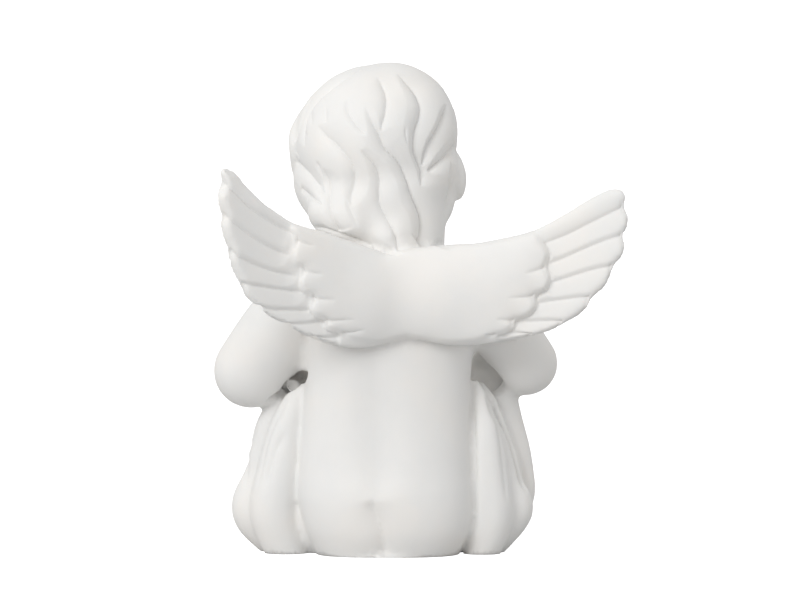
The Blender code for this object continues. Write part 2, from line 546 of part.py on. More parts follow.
def blade(wing):
    """A flat slab in the outline, fused to even faces, then bent, rounded and thickened."""
    outline, rim = smooth_path(wing["outline"], 260), smooth_path(wing["rim"], 220)

    def add_slab(clay):
        front, back = ([clay.verts.new((x, y, z)) for x, z in outline] for y in (-1.2, 1.2))
        for k in range(len(outline)):
            clay.faces.new((front[k - 1], front[k], back[k], back[k - 1]))
        clay.faces.new(front[::-1])
        clay.faces.new(back)
        bmesh.ops.triangulate(clay, faces=clay.faces[:])
        bmesh.ops.recalc_face_normals(clay, faces=clay.faces[:])

    mesh = fuse("blade", add_slab, 0.4, 1)
    flat = vectors(mesh.vertices, "co")
    seen = flat[:, [0, 2]]
    inside = np.maximum(outline_distance(seen, outline), 0)
    far = np.clip(np.abs(seen[:, 0] - wing["spine"][0]) / 45, 0, 1)
    at_spine, at_tip = WING_SHAPE["blade_thickness"]
    edge = np.clip(inside / WING_SHAPE["edge_radius"], 0, 1)
    half = 0.5 * (at_spine + (at_tip - at_spine) * far) * np.sqrt(1 - (1 - edge) ** 2)
    half = np.maximum(half, 0.35)
    on_rim = np.maximum(outline_distance(seen, rim), 0)
    raised = WING_SHAPE["rim_height"] * (1 - np.exp(-on_rim / 0.5))
    raised += WING_SHAPE["rim_rise"] * (1 - np.exp(-on_rim / WING_SHAPE["rim_round"]))
    raised *= np.sqrt(1 - (1 - np.clip(inside / 2.2, 0, 1)) ** 2)
    side = np.clip(flat[:, 1] / 1.1, -1, 1)
    depth = blade_depth(seen[:, 0]) + side * half + np.where(side > 0, raised * side, 0)
    places = [on_sight(x, z, y) for (x, z), y in zip(seen, depth)]
    mesh.vertices.foreach_set("co", np.array(places).ravel())
    return mesh


def add_wing_shoulders(clay):
    """The smooth cushions from the valley at the spine out under the short feathers."""
    stops = 120
    for wing in WINGS.values():
        top, bottom = smooth_path(wing["shoulder_top"], stops), smooth_path(wing["shoulder_bottom"], stops)

        def shape(t, c, s):
            k = min(int(t * stops), stops - 1)
            swell = math.sin(math.pi * min(max(t, 0), 1))
            middle, half = (top[k] + bottom[k]) / 2, (top[k] - bottom[k]) / 2 * swell**0.35
            x, z = middle + half * c
            at_spine, at_end = WING_SHAPE["shoulder"]
            thick = (at_spine + (at_end - at_spine) * t) * swell**0.7
            return on_sight(x, z, blade_depth(x) + thick * squared(s, 0.9))

        add_reshaped_ball(clay, shape, 40, 40)


def ease_cushions(mesh):
    """Evens out the cushions at the wing roots and the valley between them."""
    points = vectors(mesh.vertices, "co")
    ends = np.empty(len(mesh.edges) * 2, int)
    mesh.edges.foreach_get("vertices", ends)
    a, b = ends.reshape(-1, 2).T
    seen = seen_from(points)
    within = np.full(len(points), -9.0)
    back = np.nonzero(points[:, 1] > 4)[0]
    for wing in WINGS.values():
        rim = smooth_path(wing["rim"], 120)
        within[back] = np.maximum(within[back], outline_distance(seen[back], rim))
    pull = 0.5 * np.clip((within - 1.2) / 2.5, 0, 1)[:, None]
    used = (pull[a, 0] > 0) | (pull[b, 0] > 0)
    a, b = a[used], b[used]
    start, finish = np.concatenate([a, b]), np.concatenate([b, a])
    count = np.maximum(np.bincount(start, minlength=len(points)), 1)[:, None]
    for _ in range(WING_SHAPE["ease_passes"]):
        sums = [np.bincount(start, points[finish, k], len(points)) for k in range(3)]
        points += pull * (np.stack(sums, 1) / count - points)
    mesh.vertices.foreach_set("co", points.ravel())
    mesh.update()


def fuse(name, fill, voxel, passes):
    """The shapes that fill() adds, as one closed surface with its joins softened."""
    clay = bmesh.new()
    fill(clay)
    mesh = bpy.data.meshes.new(name)
    clay.to_mesh(mesh)
    clay.free()
    made = bpy.data.objects.new(name, mesh)
    bpy.context.scene.collection.objects.link(made)
    remesh = made.modifiers.new("fuse", "REMESH")
    remesh.mode = "VOXEL"
    remesh.voxel_size = voxel
    smooth = made.modifiers.new("soften", "SMOOTH")
    smooth.iterations = passes
    finished = bpy.data.meshes.new_from_object(made.evaluated_get(bpy.context.evaluated_depsgraph_get()))
    bpy.data.objects.remove(made)
    bpy.data.meshes.remove(mesh)
    return finished


def keep_outer(mesh):
    """Leaves only the figure's outer surface, without closed pockets inside or loose slivers."""
    clay = bmesh.new()
    clay.from_mesh(mesh)
    shells, seen = [], set()
    for vert in clay.verts:
        if vert in seen:
            continue
        seen.add(vert)
        shell, front = [], [vert]
        while front:
            point = front.pop()
            shell.append(point)
            for edge in point.link_edges:
                other = edge.other_vert(point)
                if other not in seen:
                    seen.add(other)
                    front.append(other)
        shells.append(shell)
    shells.sort(key=len)
    pockets = [vert for shell in shells[:-1] for vert in shell]
    bmesh.ops.delete(clay, geom=pockets, context="VERTS")
    clay.to_mesh(mesh)
    clay.free()


class Surface:
    """Finds points on a mesh along straight lines."""

    def __init__(self, mesh):
        self.mesh = mesh
        corners = [p.vertices for p in mesh.polygons]
        self.tree = BVHTree.FromPolygons([v.co for v in mesh.vertices], corners)

    def meet(self, start, end):
        """Where the straight way from start to end meets the surface."""
        return self.tree.ray_cast(start, end - start)[0]

    def behind(self, x, z):
        return self.meet(on_sight(x, z, 70), on_sight(x, z, -40))

    def ahead(self, x, z):
        return self.meet(Vector((x, -90, z)), Vector((x, 0, z)))

    def beside(self, side, y, z):
        return self.meet(Vector((side * 90, y, z)), Vector((0, y, z)))

    def on_face(self, x, z):
        return self.meet(HEAD_PLACE @ Vector((x, -40, z)), HEAD_PLACE @ Vector((x, 0, z)))

    def around_head(self, azimuth, elevation):
        """Azimuth 0 is the front of the head and 90 its own left."""
        a, e = math.radians(azimuth), math.radians(elevation)
        out = Vector((math.sin(a) * math.cos(e), -math.cos(a) * math.cos(e), math.sin(e)))
        return self.meet(HEAD_PLACE @ (out * 50), HEAD_PLACE @ Vector((0, 0, 0)))


class Carver(Surface):
    """Presses grooves into a mesh. All are measured on the mesh as it was, and where two meet
    the deeper one counts."""

    def __init__(self, mesh):
        super().__init__(mesh)
        self.points = vectors(mesh.vertices, "co")
        self.normals = vectors(mesh.vertex_normals, "vector")
        self.depth = np.zeros(len(self.points))

    def groove(
        self, path, depth, plus_width, minus_width, fade, plus=(1, 0, 0), sharp=1.15, slit=0.2, where=None
    ):
        """plus is the way to the flank of plus_width. A slit is the share cut narrow, and where
        scales the groove at each point of the mesh."""
        path = [p for p in path if p]
        if len(path) < 3:
            return
        path = np.array(path)
        reach = 3.4 * max(plus_width, minus_width)
        near = np.all((self.points > path.min(0) - reach) & (self.points < path.max(0) + reach), axis=1)
        index = np.nonzero(near)[0]
        points, normals = self.points[index], self.normals[index]
        best = np.full(len(index), 1e9)
        share, offset = np.zeros(len(index)), np.zeros((len(index), 3))
        along = np.zeros((len(index), 3))
        for k in range(len(path) - 1):
            a, step = path[k], path[k + 1] - path[k]
            t = np.clip((points - a) @ step / (step @ step + 1e-12), 0, 1)
            away = points - a - t[:, None] * step
            gap = np.einsum("ij,ij->i", away, away)
            closer = gap < best
            best[closer], offset[closer], along[closer] = gap[closer], away[closer], step
            share[closer] = (k + t[closer]) / (len(path) - 1)
        gap = np.sqrt(best)
        side = np.cross(along, normals)
        side *= np.sign(side @ np.array(plus))[:, None]
        width = np.where(np.einsum("ij,ij->i", side, offset) > 0, plus_width, minus_width)
        ramp = np.clip(share / fade[0], 0, 1) * np.clip((1 - share) / fade[1], 0, 1)
        ramp = ramp * (2 - ramp)
        width = width * (0.35 + 0.65 * ramp)
        flank = (1 - slit) * np.exp(-((gap / width) ** sharp))
        press = depth * ramp * (flank + slit * np.exp(-gap / 0.3))
        if where is not None:
            press = press * where[index]
        self.depth[index] = np.maximum(self.depth[index], press)

    def groove_behind(self, line, **options):
        points, *profile = line
        length = np.linalg.norm(np.diff(np.array(points), axis=0), axis=1).sum()
        path = smooth_path(points, max(12, int(2.2 * length)))
        self.groove([self.behind(x, z) for x, z in path], *profile, **options)

    def finish(self):
        moved = self.points - self.normals * self.depth[:, None]
        self.mesh.vertices.foreach_set("co", moved.ravel())
        self.mesh.update()


def carve_hair(carver):
    for line in HAIR_LINES:
        carver.groove_behind(line)
    for k, azimuth in enumerate(CROWN["azimuths"]):
        low = CROWN["brow"] if abs(azimuth) < 70 else CROWN["behind"]
        high = CROWN["starts"][k % len(CROWN["starts"])]
        wave = CROWN["waves"][k % 2]
        path = [
            carver.around_head(azimuth + wave * math.sin(2 * math.pi * u), high + (low - high) * u)
            for u in np.linspace(0, 1, 30)
        ]
        carver.groove(path, 0.9, 1.3, 0.7, (0.45, 0.2))


def carve_wings(carver):
    """Parts the long feathers outside the rim and the short ones inside it."""
    seen = seen_from(carver.points)
    up = (0, 0, 1)
    near = np.nonzero(carver.points[:, 2] > 40)[0]
    for wing in WINGS.values():
        within = np.full(len(seen), -9.0)
        within[near] = outline_distance(seen[near], smooth_path(wing["rim"], 160))
        on_long, on_short = np.clip(-within / 0.3, 0, 1), np.clip(within / 0.4, 0, 1)
        for path in wing["lines"]:
            line = (path, 0.8, 0.8, 3.0, (0.02, 0.16))
            carver.groove_behind(line, plus=up, sharp=1.0, where=on_long)
        for path in wing["short_lines"]:
            line = (path, 0.6, 0.5, 1.2, (0.02, 0.9))
            carver.groove_behind(line, plus=up, sharp=1.0, where=on_short)
        carver.groove_behind((wing["upper"], 1.0, 1.2, 0.35, (0.1, 0.2)), plus=up)
        carver.groove_behind((wing["lower"], 0.7, 0.35, 0.8, (0.1, 0.1)), plus=up)


def carve_back(carver):
    carver.groove_behind(SEAT_LINE)
    carver.groove_behind(SPINE_LINE, sharp=2, slit=0)
    for line in HIP_LINES:
        carver.groove_behind(line)
    for line in UNDER_ARMS:
        carver.groove_behind(line, sharp=2, slit=0)


def carve_cloth(carver):
    for z, sag in SHIN_SWEEPS:
        path = [carver.ahead(x, z - sag * (1 - (x / 12) ** 2)) for x in np.linspace(-12, 12, 25)]
        carver.groove(path, 1.3, 2.0, 1.2, (0.3, 0.3), plus=(0, 0, 1))
    share = np.linspace(0, 1, 20)
    for side in (1, -1):
        for top, foot in FRONT_FALLS:
            path = [carver.ahead(side * (top + (foot - top) * t), 24 - 23 * t) for t in share]
            carver.groove(path, 1.2, 1.8, 1.2, (0.4, 0.1))
        for top, foot in SIDE_FALLS:
            path = [carver.beside(side, top + (foot - top) * t, 27 - 26 * t) for t in share]
            carver.groove(path, 1.2, 1.8, 1.2, (0.35, 0.05), plus=(0, 1, 0))
    for line in CLOTH_LINES:
        carver.groove_behind(line)


def carve_face(carver):
    up, fade = (0, 0, 1), (0.15, 0.15)
    lips = [carver.on_face(x, -8.7 + 0.036 * x * x) for x in np.linspace(-3.2, 3.2, 15)]
    carver.groove(lips, 0.6, 0.45, 0.45, fade, plus=up)
    for side in (1, -1):
        lash = [carver.on_face(side * (5.4 + x), -1.5 + 0.1 * x * x) for x in np.linspace(-2.9, 2.9, 15)]
        carver.groove(lash, 0.5, 0.4, 0.4, fade, plus=up)
        lid = [carver.on_face(side * (5.4 + x), 2.0 - 0.1 * x * x) for x in np.linspace(-3.2, 3.2, 15)]
        carver.groove(lid, 0.5, 0.8, 0.6, fade, plus=up)


def figure():
    skull = fuse("skull", add_skull, 0.8, 12)
    parts = [
        fuse("trunk", add_trunk, 0.8, 14),
        fuse("cloth", add_cloth, 0.8, 16),
        fuse("folds", add_folds, 0.6, 4),
        skull,
        fuse("face", add_face, 0.6, 8),
        fuse("ear", lambda clay: add_balls(clay, [HEAD["ear"]]), 0.5, 2),
        fuse("features", add_features, 0.3, 4),
        fuse("fringe", lambda clay: add_fringe(clay, Surface(skull)), 0.45, 3),
        fuse("feet", add_feet, 0.45, 3),
        fuse("hands", add_hands, 0.45, 3),
        blade(WINGS["left"]),
        blade(WINGS["right"]),
        fuse("wing shoulders", add_wing_shoulders, 0.6, 12),
    ]

    def all_parts(clay):
        for mesh in parts:
            clay.from_mesh(mesh)

    angel = fuse("angel", all_parts, VOXEL, 4)
    keep_outer(angel)
    for mesh in parts:
        bpy.data.meshes.remove(mesh)
    ease_cushions(angel)
    carver = Carver(angel)
    for carve in (carve_hair, carve_wings, carve_back, carve_cloth, carve_face):
        carve(carver)
    carver.finish()
    return angel


def thin_out(mesh, triangles):
    """Fewer faces, kept where the surface turns most."""
    made = bpy.data.objects.new("thinned", mesh)
    bpy.context.scene.collection.objects.link(made)
    decimate = made.modifiers.new("thin", "DECIMATE")
    decimate.ratio = triangles / sum(len(p.vertices) - 2 for p in mesh.polygons)
    finished = bpy.data.meshes.new_from_object(made.evaluated_get(bpy.context.evaluated_depsgraph_get()))
    bpy.data.objects.remove(made)
    return finished


def stand_flat(mesh, level):
    """Cuts the figure off at a level, closes it there with a flat face and stands it on 0."""
    clay = bmesh.new()
    clay.from_mesh(mesh)
    everything = clay.verts[:] + clay.edges[:] + clay.faces[:]
    bmesh.ops.bisect_plane(
        clay, geom=everything, dist=1e-4, plane_co=(0, 0, level), plane_no=(0, 0, 1), clear_inner=True
    )
    rim = [edge for edge in clay.edges if edge.is_boundary]
    bmesh.ops.edgeloop_fill(clay, edges=rim)
    bmesh.ops.triangulate(clay, faces=clay.faces[:])
    bmesh.ops.translate(clay, verts=clay.verts[:], vec=(0, 0, -level))
    clay.to_mesh(mesh)
    clay.free()


def porcelain():
    material = bpy.data.materials.new("white_bisque")
    material.use_nodes = True
    shader = material.node_tree.nodes["Principled BSDF"]
    shader.inputs["Base Color"].default_value = (0.83, 0.82, 0.80, 1)
    shader.inputs["Roughness"].default_value = 0.62
    shader.inputs["Metallic"].default_value = 0
    return material


def build():
    for old in list(bpy.data.objects):
        bpy.data.objects.remove(old)
    collection = bpy.data.collections.new("seated angel figurine")
    bpy.context.scene.collection.children.link(collection)
    whole = figure()
    stand_flat(whole, -1)
    mesh = thin_out(whole, TRIANGLES)
    stand_flat(mesh, 1)
    keep_outer(mesh)
    mesh.name = "seated_angel"
    mesh.transform(Matrix.Scale(HEIGHT / 100, 4))
    mesh.materials.clear()
    mesh.materials.append(porcelain())
    mesh.shade_smooth()
    collection.objects.link(bpy.data.objects.new("seated_angel", mesh))


build()
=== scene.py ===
import math
import time

import bmesh
import bpy
import numpy as np
from mathutils import Euler, Matrix, Vector
from mathutils.bvhtree import BVHTree


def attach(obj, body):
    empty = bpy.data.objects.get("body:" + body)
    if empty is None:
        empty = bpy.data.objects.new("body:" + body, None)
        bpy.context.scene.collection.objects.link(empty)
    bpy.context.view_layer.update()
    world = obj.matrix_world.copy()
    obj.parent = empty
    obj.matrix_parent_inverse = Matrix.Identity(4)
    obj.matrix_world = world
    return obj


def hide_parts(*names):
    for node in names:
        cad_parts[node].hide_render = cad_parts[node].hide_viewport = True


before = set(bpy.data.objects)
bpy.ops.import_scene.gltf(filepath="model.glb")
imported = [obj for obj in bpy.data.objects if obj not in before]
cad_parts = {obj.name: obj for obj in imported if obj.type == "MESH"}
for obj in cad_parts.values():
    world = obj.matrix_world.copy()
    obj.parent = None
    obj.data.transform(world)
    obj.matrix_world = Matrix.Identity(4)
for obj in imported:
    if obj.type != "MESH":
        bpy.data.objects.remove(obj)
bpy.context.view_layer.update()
started = time.time()

# The figure is modelled in hundredths of its height and scaled to metres at the end.
# It faces -Y and +X is its own left. The back elevation is drawn as the camera sees it:
# a pair (x, z) there is a line of sight, and the form gives it its depth.
figure = {
    "height": 0.100,
    "triangles": 194000,
    "fuse": (0.5, 4),  # size of the voxels, and rounds of softening
    "fineAbove": 41.0,
    "headCentre": (2.2, -3.5, 80.0),
    "headTurn": (-2, -9, 16),  # degrees: nod, crown to -X, face to +X
}
eye = {
    "rise": 3,  # degrees
    "distance": 1500,
    "level": 51.7,
    "side": -2.4,
    "sensor": 36,
    "pixelsAcross": 800,
    "pixel": 0.0002041,  # metres of the figure
}


def say(stage):
    print(f"{time.time() - started:6.1f} s  {stage}", flush=True)


# Rows of numbers on a smooth curve through the given rows.
def smoothPath(points, count):
    p = np.array(points, float)
    p = np.vstack([2 * p[0] - p[1], p, 2 * p[-1] - p[-2]])
    s = np.linspace(0, len(p) - 3, count)
    i = np.minimum(s.astype(int), len(p) - 4)
    t = (s - i)[:, None]
    a, b, c, d = p[i], p[i + 1], p[i + 2], p[i + 3]
    return 0.5 * (2 * b + (c - a) * t + (2 * a - 5 * b + 4 * c - d) * t**2 + (3 * b - a - 3 * c + d) * t**3)


def onSight(x, z, y):
    nearer = 1 - y / eye["distance"]
    rise = math.sin(math.radians(eye["rise"]))
    return Vector((x * nearer, y, eye["level"] + (z - eye["level"]) * nearer + y * rise))


# Where points show on the back elevation, the reverse of onSight.
def seenFrom(points):
    nearer = 1 - points[:, 1] / eye["distance"]
    rise = math.sin(math.radians(eye["rise"]))
    z = eye["level"] + (points[:, 2] - points[:, 1] * rise - eye["level"]) / nearer
    return np.stack([points[:, 0] / nearer, z], 1)


# From 0 at start to 1 at end.
def ramp(values, start, end):
    return np.clip((values - start) / (end - start), 0, 1)


def turned(degrees):
    return Euler([math.radians(a) for a in degrees])


headPlace = Matrix.LocRotScale(Vector(figure["headCentre"]), turned(figure["headTurn"]), None)


# Node trees: limbs and locks follow paths, and rounded lumps sit on points

def newTree(name, inputs):
    tree = bpy.data.node_groups.new(name, "GeometryNodeTree")
    tree.interface.new_socket("Geometry", in_out="INPUT", socket_type="NodeSocketGeometry")
    for label, kind in inputs:
        tree.interface.new_socket(label, in_out="INPUT", socket_type=kind)
    tree.interface.new_socket("Geometry", in_out="OUTPUT", socket_type="NodeSocketGeometry")
    return tree, tree.nodes.new("NodeGroupInput"), tree.nodes.new("NodeGroupOutput")


def finishTree(tree, shape, entry, out):
    realize = tree.nodes.new("GeometryNodeRealizeInstances")
    paint = tree.nodes.new("GeometryNodeSetMaterial")
    tree.links.new(shape, realize.inputs["Geometry"])
    tree.links.new(realize.outputs["Geometry"], paint.inputs["Geometry"])
    tree.links.new(entry.outputs["Material"], paint.inputs["Material"])
    tree.links.new(paint.outputs["Geometry"], out.inputs["Geometry"])


def attributeNode(tree, name, kind):
    node = tree.nodes.new("GeometryNodeInputNamedAttribute")
    node.data_type = kind
    node.inputs["Name"].default_value = name
    return node.outputs["Attribute"]


# Each chain of edges becomes a smooth round limb with ball ends, as thick as its girth.
def makeRopeTree():
    inputs = (("Steps", "NodeSocketInt"), ("Sides", "NodeSocketInt"), ("Material", "NodeSocketMaterial"))
    tree, entry, out = newTree("ropes", inputs)
    new, link = tree.nodes.new, tree.links.new
    toCurve, radius = new("GeometryNodeMeshToCurve"), new("GeometryNodeSetCurveRadius")
    smooth, steps = new("GeometryNodeCurveSplineType"), new("GeometryNodeResampleCurve")
    circle, sweep = new("GeometryNodeCurvePrimitiveCircle"), new("GeometryNodeCurveToMesh")
    ends, ball = new("GeometryNodeCurveEndpointSelection"), new("GeometryNodeMeshUVSphere")
    place, join = new("GeometryNodeInstanceOnPoints"), new("GeometryNodeJoinGeometry")
    girth = new("GeometryNodeInputRadius")
    smooth.spline_type = "CATMULL_ROM"
    link(entry.outputs["Geometry"], toCurve.inputs["Mesh"])
    link(toCurve.outputs["Curve"], radius.inputs["Curve"])
    link(attributeNode(tree, "girth", "FLOAT"), radius.inputs["Radius"])
    link(radius.outputs["Curve"], smooth.inputs["Curve"])
    link(smooth.outputs["Curve"], steps.inputs["Curve"])
    link(entry.outputs["Steps"], steps.inputs["Count"])
    link(entry.outputs["Sides"], circle.inputs["Resolution"])
    circle.inputs["Radius"].default_value = 1
    link(steps.outputs["Curve"], sweep.inputs["Curve"])
    link(circle.outputs["Curve"], sweep.inputs["Profile Curve"])
    link(girth.outputs["Radius"], sweep.inputs["Scale"])
    sweep.inputs["Fill Caps"].default_value = True
    link(steps.outputs["Curve"], place.inputs["Points"])
    link(ends.outputs["Selection"], place.inputs["Selection"])
    link(entry.outputs["Sides"], ball.inputs["Segments"])
    link(ball.outputs["Mesh"], place.inputs["Instance"])
    link(girth.outputs["Radius"], place.inputs["Scale"])
    link(sweep.outputs["Mesh"], join.inputs["Geometry"])
    link(place.outputs["Instances"], join.inputs["Geometry"])
    finishTree(tree, join.outputs["Geometry"], entry, out)
    return tree


# A ball on each point, stretched and turned by the point's own size and turn.
def makeLumpTree():
    tree, entry, out = newTree("lumps", (("Segments", "NodeSocketInt"), ("Material", "NodeSocketMaterial")))
    new, link = tree.nodes.new, tree.links.new
    ball, place = new("GeometryNodeMeshUVSphere"), new("GeometryNodeInstanceOnPoints")
    turn = new("FunctionNodeEulerToRotation")
    link(entry.outputs["Segments"], ball.inputs["Segments"])
    ball.inputs["Rings"].default_value = 20
    link(attributeNode(tree, "turn", "FLOAT_VECTOR"), turn.inputs["Euler"])
    link(entry.outputs["Geometry"], place.inputs["Points"])
    link(ball.outputs["Mesh"], place.inputs["Instance"])
    link(turn.outputs["Rotation"], place.inputs["Rotation"])
    link(attributeNode(tree, "size", "FLOAT_VECTOR"), place.inputs["Scale"])
    finishTree(tree, place.outputs["Instances"], entry, out)
    return tree


# The mesh after its modifiers, as a plain mesh.
def finished(mesh, addModifiers):
    made = bpy.data.objects.new(mesh.name, mesh)
    bpy.context.scene.collection.objects.link(made)
    addModifiers(made)
    result = bpy.data.meshes.new_from_object(made.evaluated_get(bpy.context.evaluated_depsgraph_get()))
    made.modifiers.clear()
    bpy.data.objects.remove(made)
    bpy.data.meshes.remove(mesh)
    return result


# The mesh after a node tree, with the tree's inputs set by name.
def grown(mesh, tree, values):
    def add(made):
        nodes = made.modifiers.new("grow", "NODES")
        nodes.node_group = tree
        for item in tree.interface.items_tree:
            if item.in_out == "INPUT" and item.name in values:
                nodes[item.identifier] = values[item.name]
    return finished(mesh, add)


# Each path is a list of (x, y, z, radius).
def ropes(paths, steps=24, sides=20):
    mesh = bpy.data.meshes.new("ropes")
    edges, first = [], 0
    for path in paths:
        edges += [(first + k, first + k + 1) for k in range(len(path) - 1)]
        first += len(path)
    rows = np.array([row for path in paths for row in path], float)
    mesh.from_pydata(rows[:, :3].tolist(), edges, [])
    mesh.attributes.new("girth", "FLOAT", "POINT").data.foreach_set("value", rows[:, 3])
    return grown(mesh, ropeTree, {"Steps": steps, "Sides": sides, "Material": bisque})


# Each ball is its centre, its three radii and, if it is turned, three angles.
def lumps(balls):
    mesh = bpy.data.meshes.new("lumps")
    mesh.from_pydata([ball[0] for ball in balls], [], [])
    sizes = np.array([ball[1] for ball in balls], float)
    turns = np.radians([ball[2] if len(ball) > 2 else (0, 0, 0) for ball in balls])
    mesh.attributes.new("size", "FLOAT_VECTOR", "POINT").data.foreach_set("vector", sizes.ravel())
    mesh.attributes.new("turn", "FLOAT_VECTOR", "POINT").data.foreach_set("vector", turns.ravel())
    return grown(mesh, lumpTree, {"Segments": 32, "Material": bisque})


# Closed shapes made one surface, with their joins softened.
def fused(name, shapes, voxel, passes):
    clay = bmesh.new()
    for shape in shapes:
        clay.from_mesh(shape)
        bpy.data.meshes.remove(shape)
    mesh = bpy.data.meshes.new(name)
    clay.to_mesh(mesh)
    clay.free()

    def add(made):
        remesh = made.modifiers.new("fuse", "REMESH")
        remesh.mode = "VOXEL"
        remesh.voxel_size = voxel
        soften = made.modifiers.new("soften", "SMOOTH")
        soften.iterations = passes
    return finished(mesh, add)


# A closed tube through rings of points, with as many points to a ring as around says.
def tube(name, points, around):
    faces, rings = [], len(points) // around
    for low in range(0, (rings - 1) * around, around):
        for j in range(around):
            a, b = low + j, low + (j + 1) % around
            faces.append((a, b, b + around, a + around))
    faces += [tuple(range(around))[::-1], tuple(range((rings - 1) * around, rings * around))]
    mesh = bpy.data.meshes.new(name)
    mesh.from_pydata(points, [], faces)
    return mesh


# The mesh with its faces turned outwards, and cut into triangles if that is asked for.
def facingOut(mesh, triangles=False):
    clay = bmesh.new()
    clay.from_mesh(mesh)
    if triangles:
        bmesh.ops.triangulate(clay, faces=clay.faces[:])
    bmesh.ops.recalc_face_normals(clay, faces=clay.faces[:])
    clay.to_mesh(mesh)
    clay.free()
    return mesh


def placed(mesh, place):
    mesh.transform(place)
    return mesh


def vectors(collection, name):
    values = np.empty(len(collection) * 3)
    collection.foreach_get(name, values)
    return values.reshape(-1, 3)


# The finish: unglazed porcelain, dense and dry, with the faint unevenness of a casting

finish = {
    "colour": (0.84, 0.83, 0.81, 1),
    "warmer": (0.86, 0.84, 0.81, 1),
    "cooler": (0.82, 0.815, 0.80, 1),
    "patches": 60,  # per metre
    "grain": 5200,
    "grainDepth": 0.00001,
    "ripple": 420,
    "rippleDepth": 0.00004,
}


def makeBisque():
    material = bpy.data.materials.new("whiteBisque")
    material.use_nodes = True
    nodes, link = material.node_tree.nodes, material.node_tree.links.new
    shader = nodes["Principled BSDF"]
    shader.inputs["Metallic"].default_value = 0
    shader.inputs["IOR"].default_value = 1.5
    shader.inputs["Specular IOR Level"].default_value = 0.35
    shader.inputs["Subsurface Weight"].default_value = 0.12
    shader.inputs["Subsurface Radius"].default_value = (1.0, 0.9, 0.8)
    shader.inputs["Subsurface Scale"].default_value = 0.0006
    place = nodes.new("ShaderNodeTexCoord")

    def noise(scale, detail, roughness=0.55):
        node = nodes.new("ShaderNodeTexNoise")
        node.inputs["Scale"].default_value = scale
        node.inputs["Detail"].default_value = detail
        node.inputs["Roughness"].default_value = roughness
        link(place.outputs["Object"], node.inputs["Vector"])
        return node.outputs["Fac"]

    tint = nodes.new("ShaderNodeValToRGB")
    tint.color_ramp.elements[0].position = 0.35
    tint.color_ramp.elements[0].color = finish["cooler"]
    tint.color_ramp.elements[1].position = 0.65
    tint.color_ramp.elements[1].color = finish["warmer"]
    middle = tint.color_ramp.elements.new(0.5)
    middle.color = finish["colour"]
    link(noise(finish["patches"], 3), tint.inputs["Fac"])
    link(tint.outputs["Color"], shader.inputs["Base Color"])
    dry = nodes.new("ShaderNodeMapRange")
    dry.inputs["To Min"].default_value = 0.54
    dry.inputs["To Max"].default_value = 0.70
    link(noise(finish["ripple"] * 2, 4), dry.inputs["Value"])
    link(dry.outputs["Result"], shader.inputs["Roughness"])
    ripple, grain = nodes.new("ShaderNodeBump"), nodes.new("ShaderNodeBump")
    ripple.inputs["Distance"].default_value = finish["rippleDepth"]
    ripple.inputs["Strength"].default_value = 0.6
    grain.inputs["Distance"].default_value = finish["grainDepth"]
    grain.inputs["Strength"].default_value = 0.5
    link(noise(finish["ripple"], 3), ripple.inputs["Height"])
    link(noise(finish["grain"], 2, 0.7), grain.inputs["Height"])
    link(ripple.outputs["Normal"], grain.inputs["Normal"])
    link(grain.outputs["Normal"], shader.inputs["Normal"])
    return material


bisque = makeBisque()
ropeTree = makeRopeTree()
lumpTree = makeLumpTree()


# Trunk, neck and arms

# A closed upright form. Each row is z, centre x, centre y, half width, half depth.
def loft(rows, squareness, around=64, levels=80):
    rows = smoothPath(rows, levels)
    angles = np.linspace(0, 2 * np.pi, around, endpoint=False)
    cosines, sines = (np.sign(f) * np.abs(f) ** squareness for f in (np.cos(angles), np.sin(angles)))
    points = [(x + c * w, y + s * d, z) for z, x, y, w, d in rows for c, s in zip(cosines, sines)]
    return tube("loft", points, around)


trunk = {
    "sections": [
        (-3, 0.2, 1.5, 13.0, 10.0),
        (2, 0.0, 1.6, 15.6, 12.2),
        (6, 0.1, 1.6, 17.2, 13.3),
        (12, 0.6, 1.4, 18.0, 13.6),
        (18, 0.7, 0.8, 17.8, 13.0),
        (27, 0.5, 0.6, 17.3, 12.2),
        (36, 0.1, 1.0, 17.0, 11.8),
        (46, -0.1, 1.4, 17.2, 11.6),
        (55, -0.4, 1.2, 15.5, 10.0),
        (61, -0.4, 0.6, 10.0, 7.5),
    ],
    "shoulderLine": [(-13, 0.0, 54, 7.8), (0, 1.0, 56, 8.6), (13, 1.8, 54, 7.8)],
    "yoke": [(-14, 7.0, 58.6, 3.6), (-7, 9.0, 59.6, 4.2), (2, 8.4, 57.2, 3.6)],
    "neck": [(-0.3, 0.5, 55, 9.5), (0.5, 0.4, 62, 10.0), (1.0, 0.6, 70, 11.0)],
    "arms": [
        [(14.8, 2.2, 53.4, 8.3), (21.9, -0.4, 45.8, 8.1), (28.1, -3.0, 37.1, 7.8)],
        [(28.1, -3.0, 37.1, 7.8), (19.3, -15.2, 37.2, 6.6), (8.5, -30.0, 37.4, 4.2)],
        [(-15.6, -0.8, 53.2, 8.0), (-22.9, -3.8, 46.0, 6.9), (-28.2, -6.0, 38.4, 6.6)],
        [(-28.2, -6.0, 38.4, 6.7), (-20.4, -17.0, 37.2, 6.2), (-9.0, -29.0, 36.2, 4.2)],
    ],
}


def makeTrunk():
    limbs = ropes([trunk["shoulderLine"], trunk["yoke"], trunk["neck"], *trunk["arms"]], steps=20, sides=36)
    return fused("trunk", [loft(trunk["sections"], 0.8), limbs], 0.8, 14)


# The cloth over the knees, and the folds that hang beside the hips

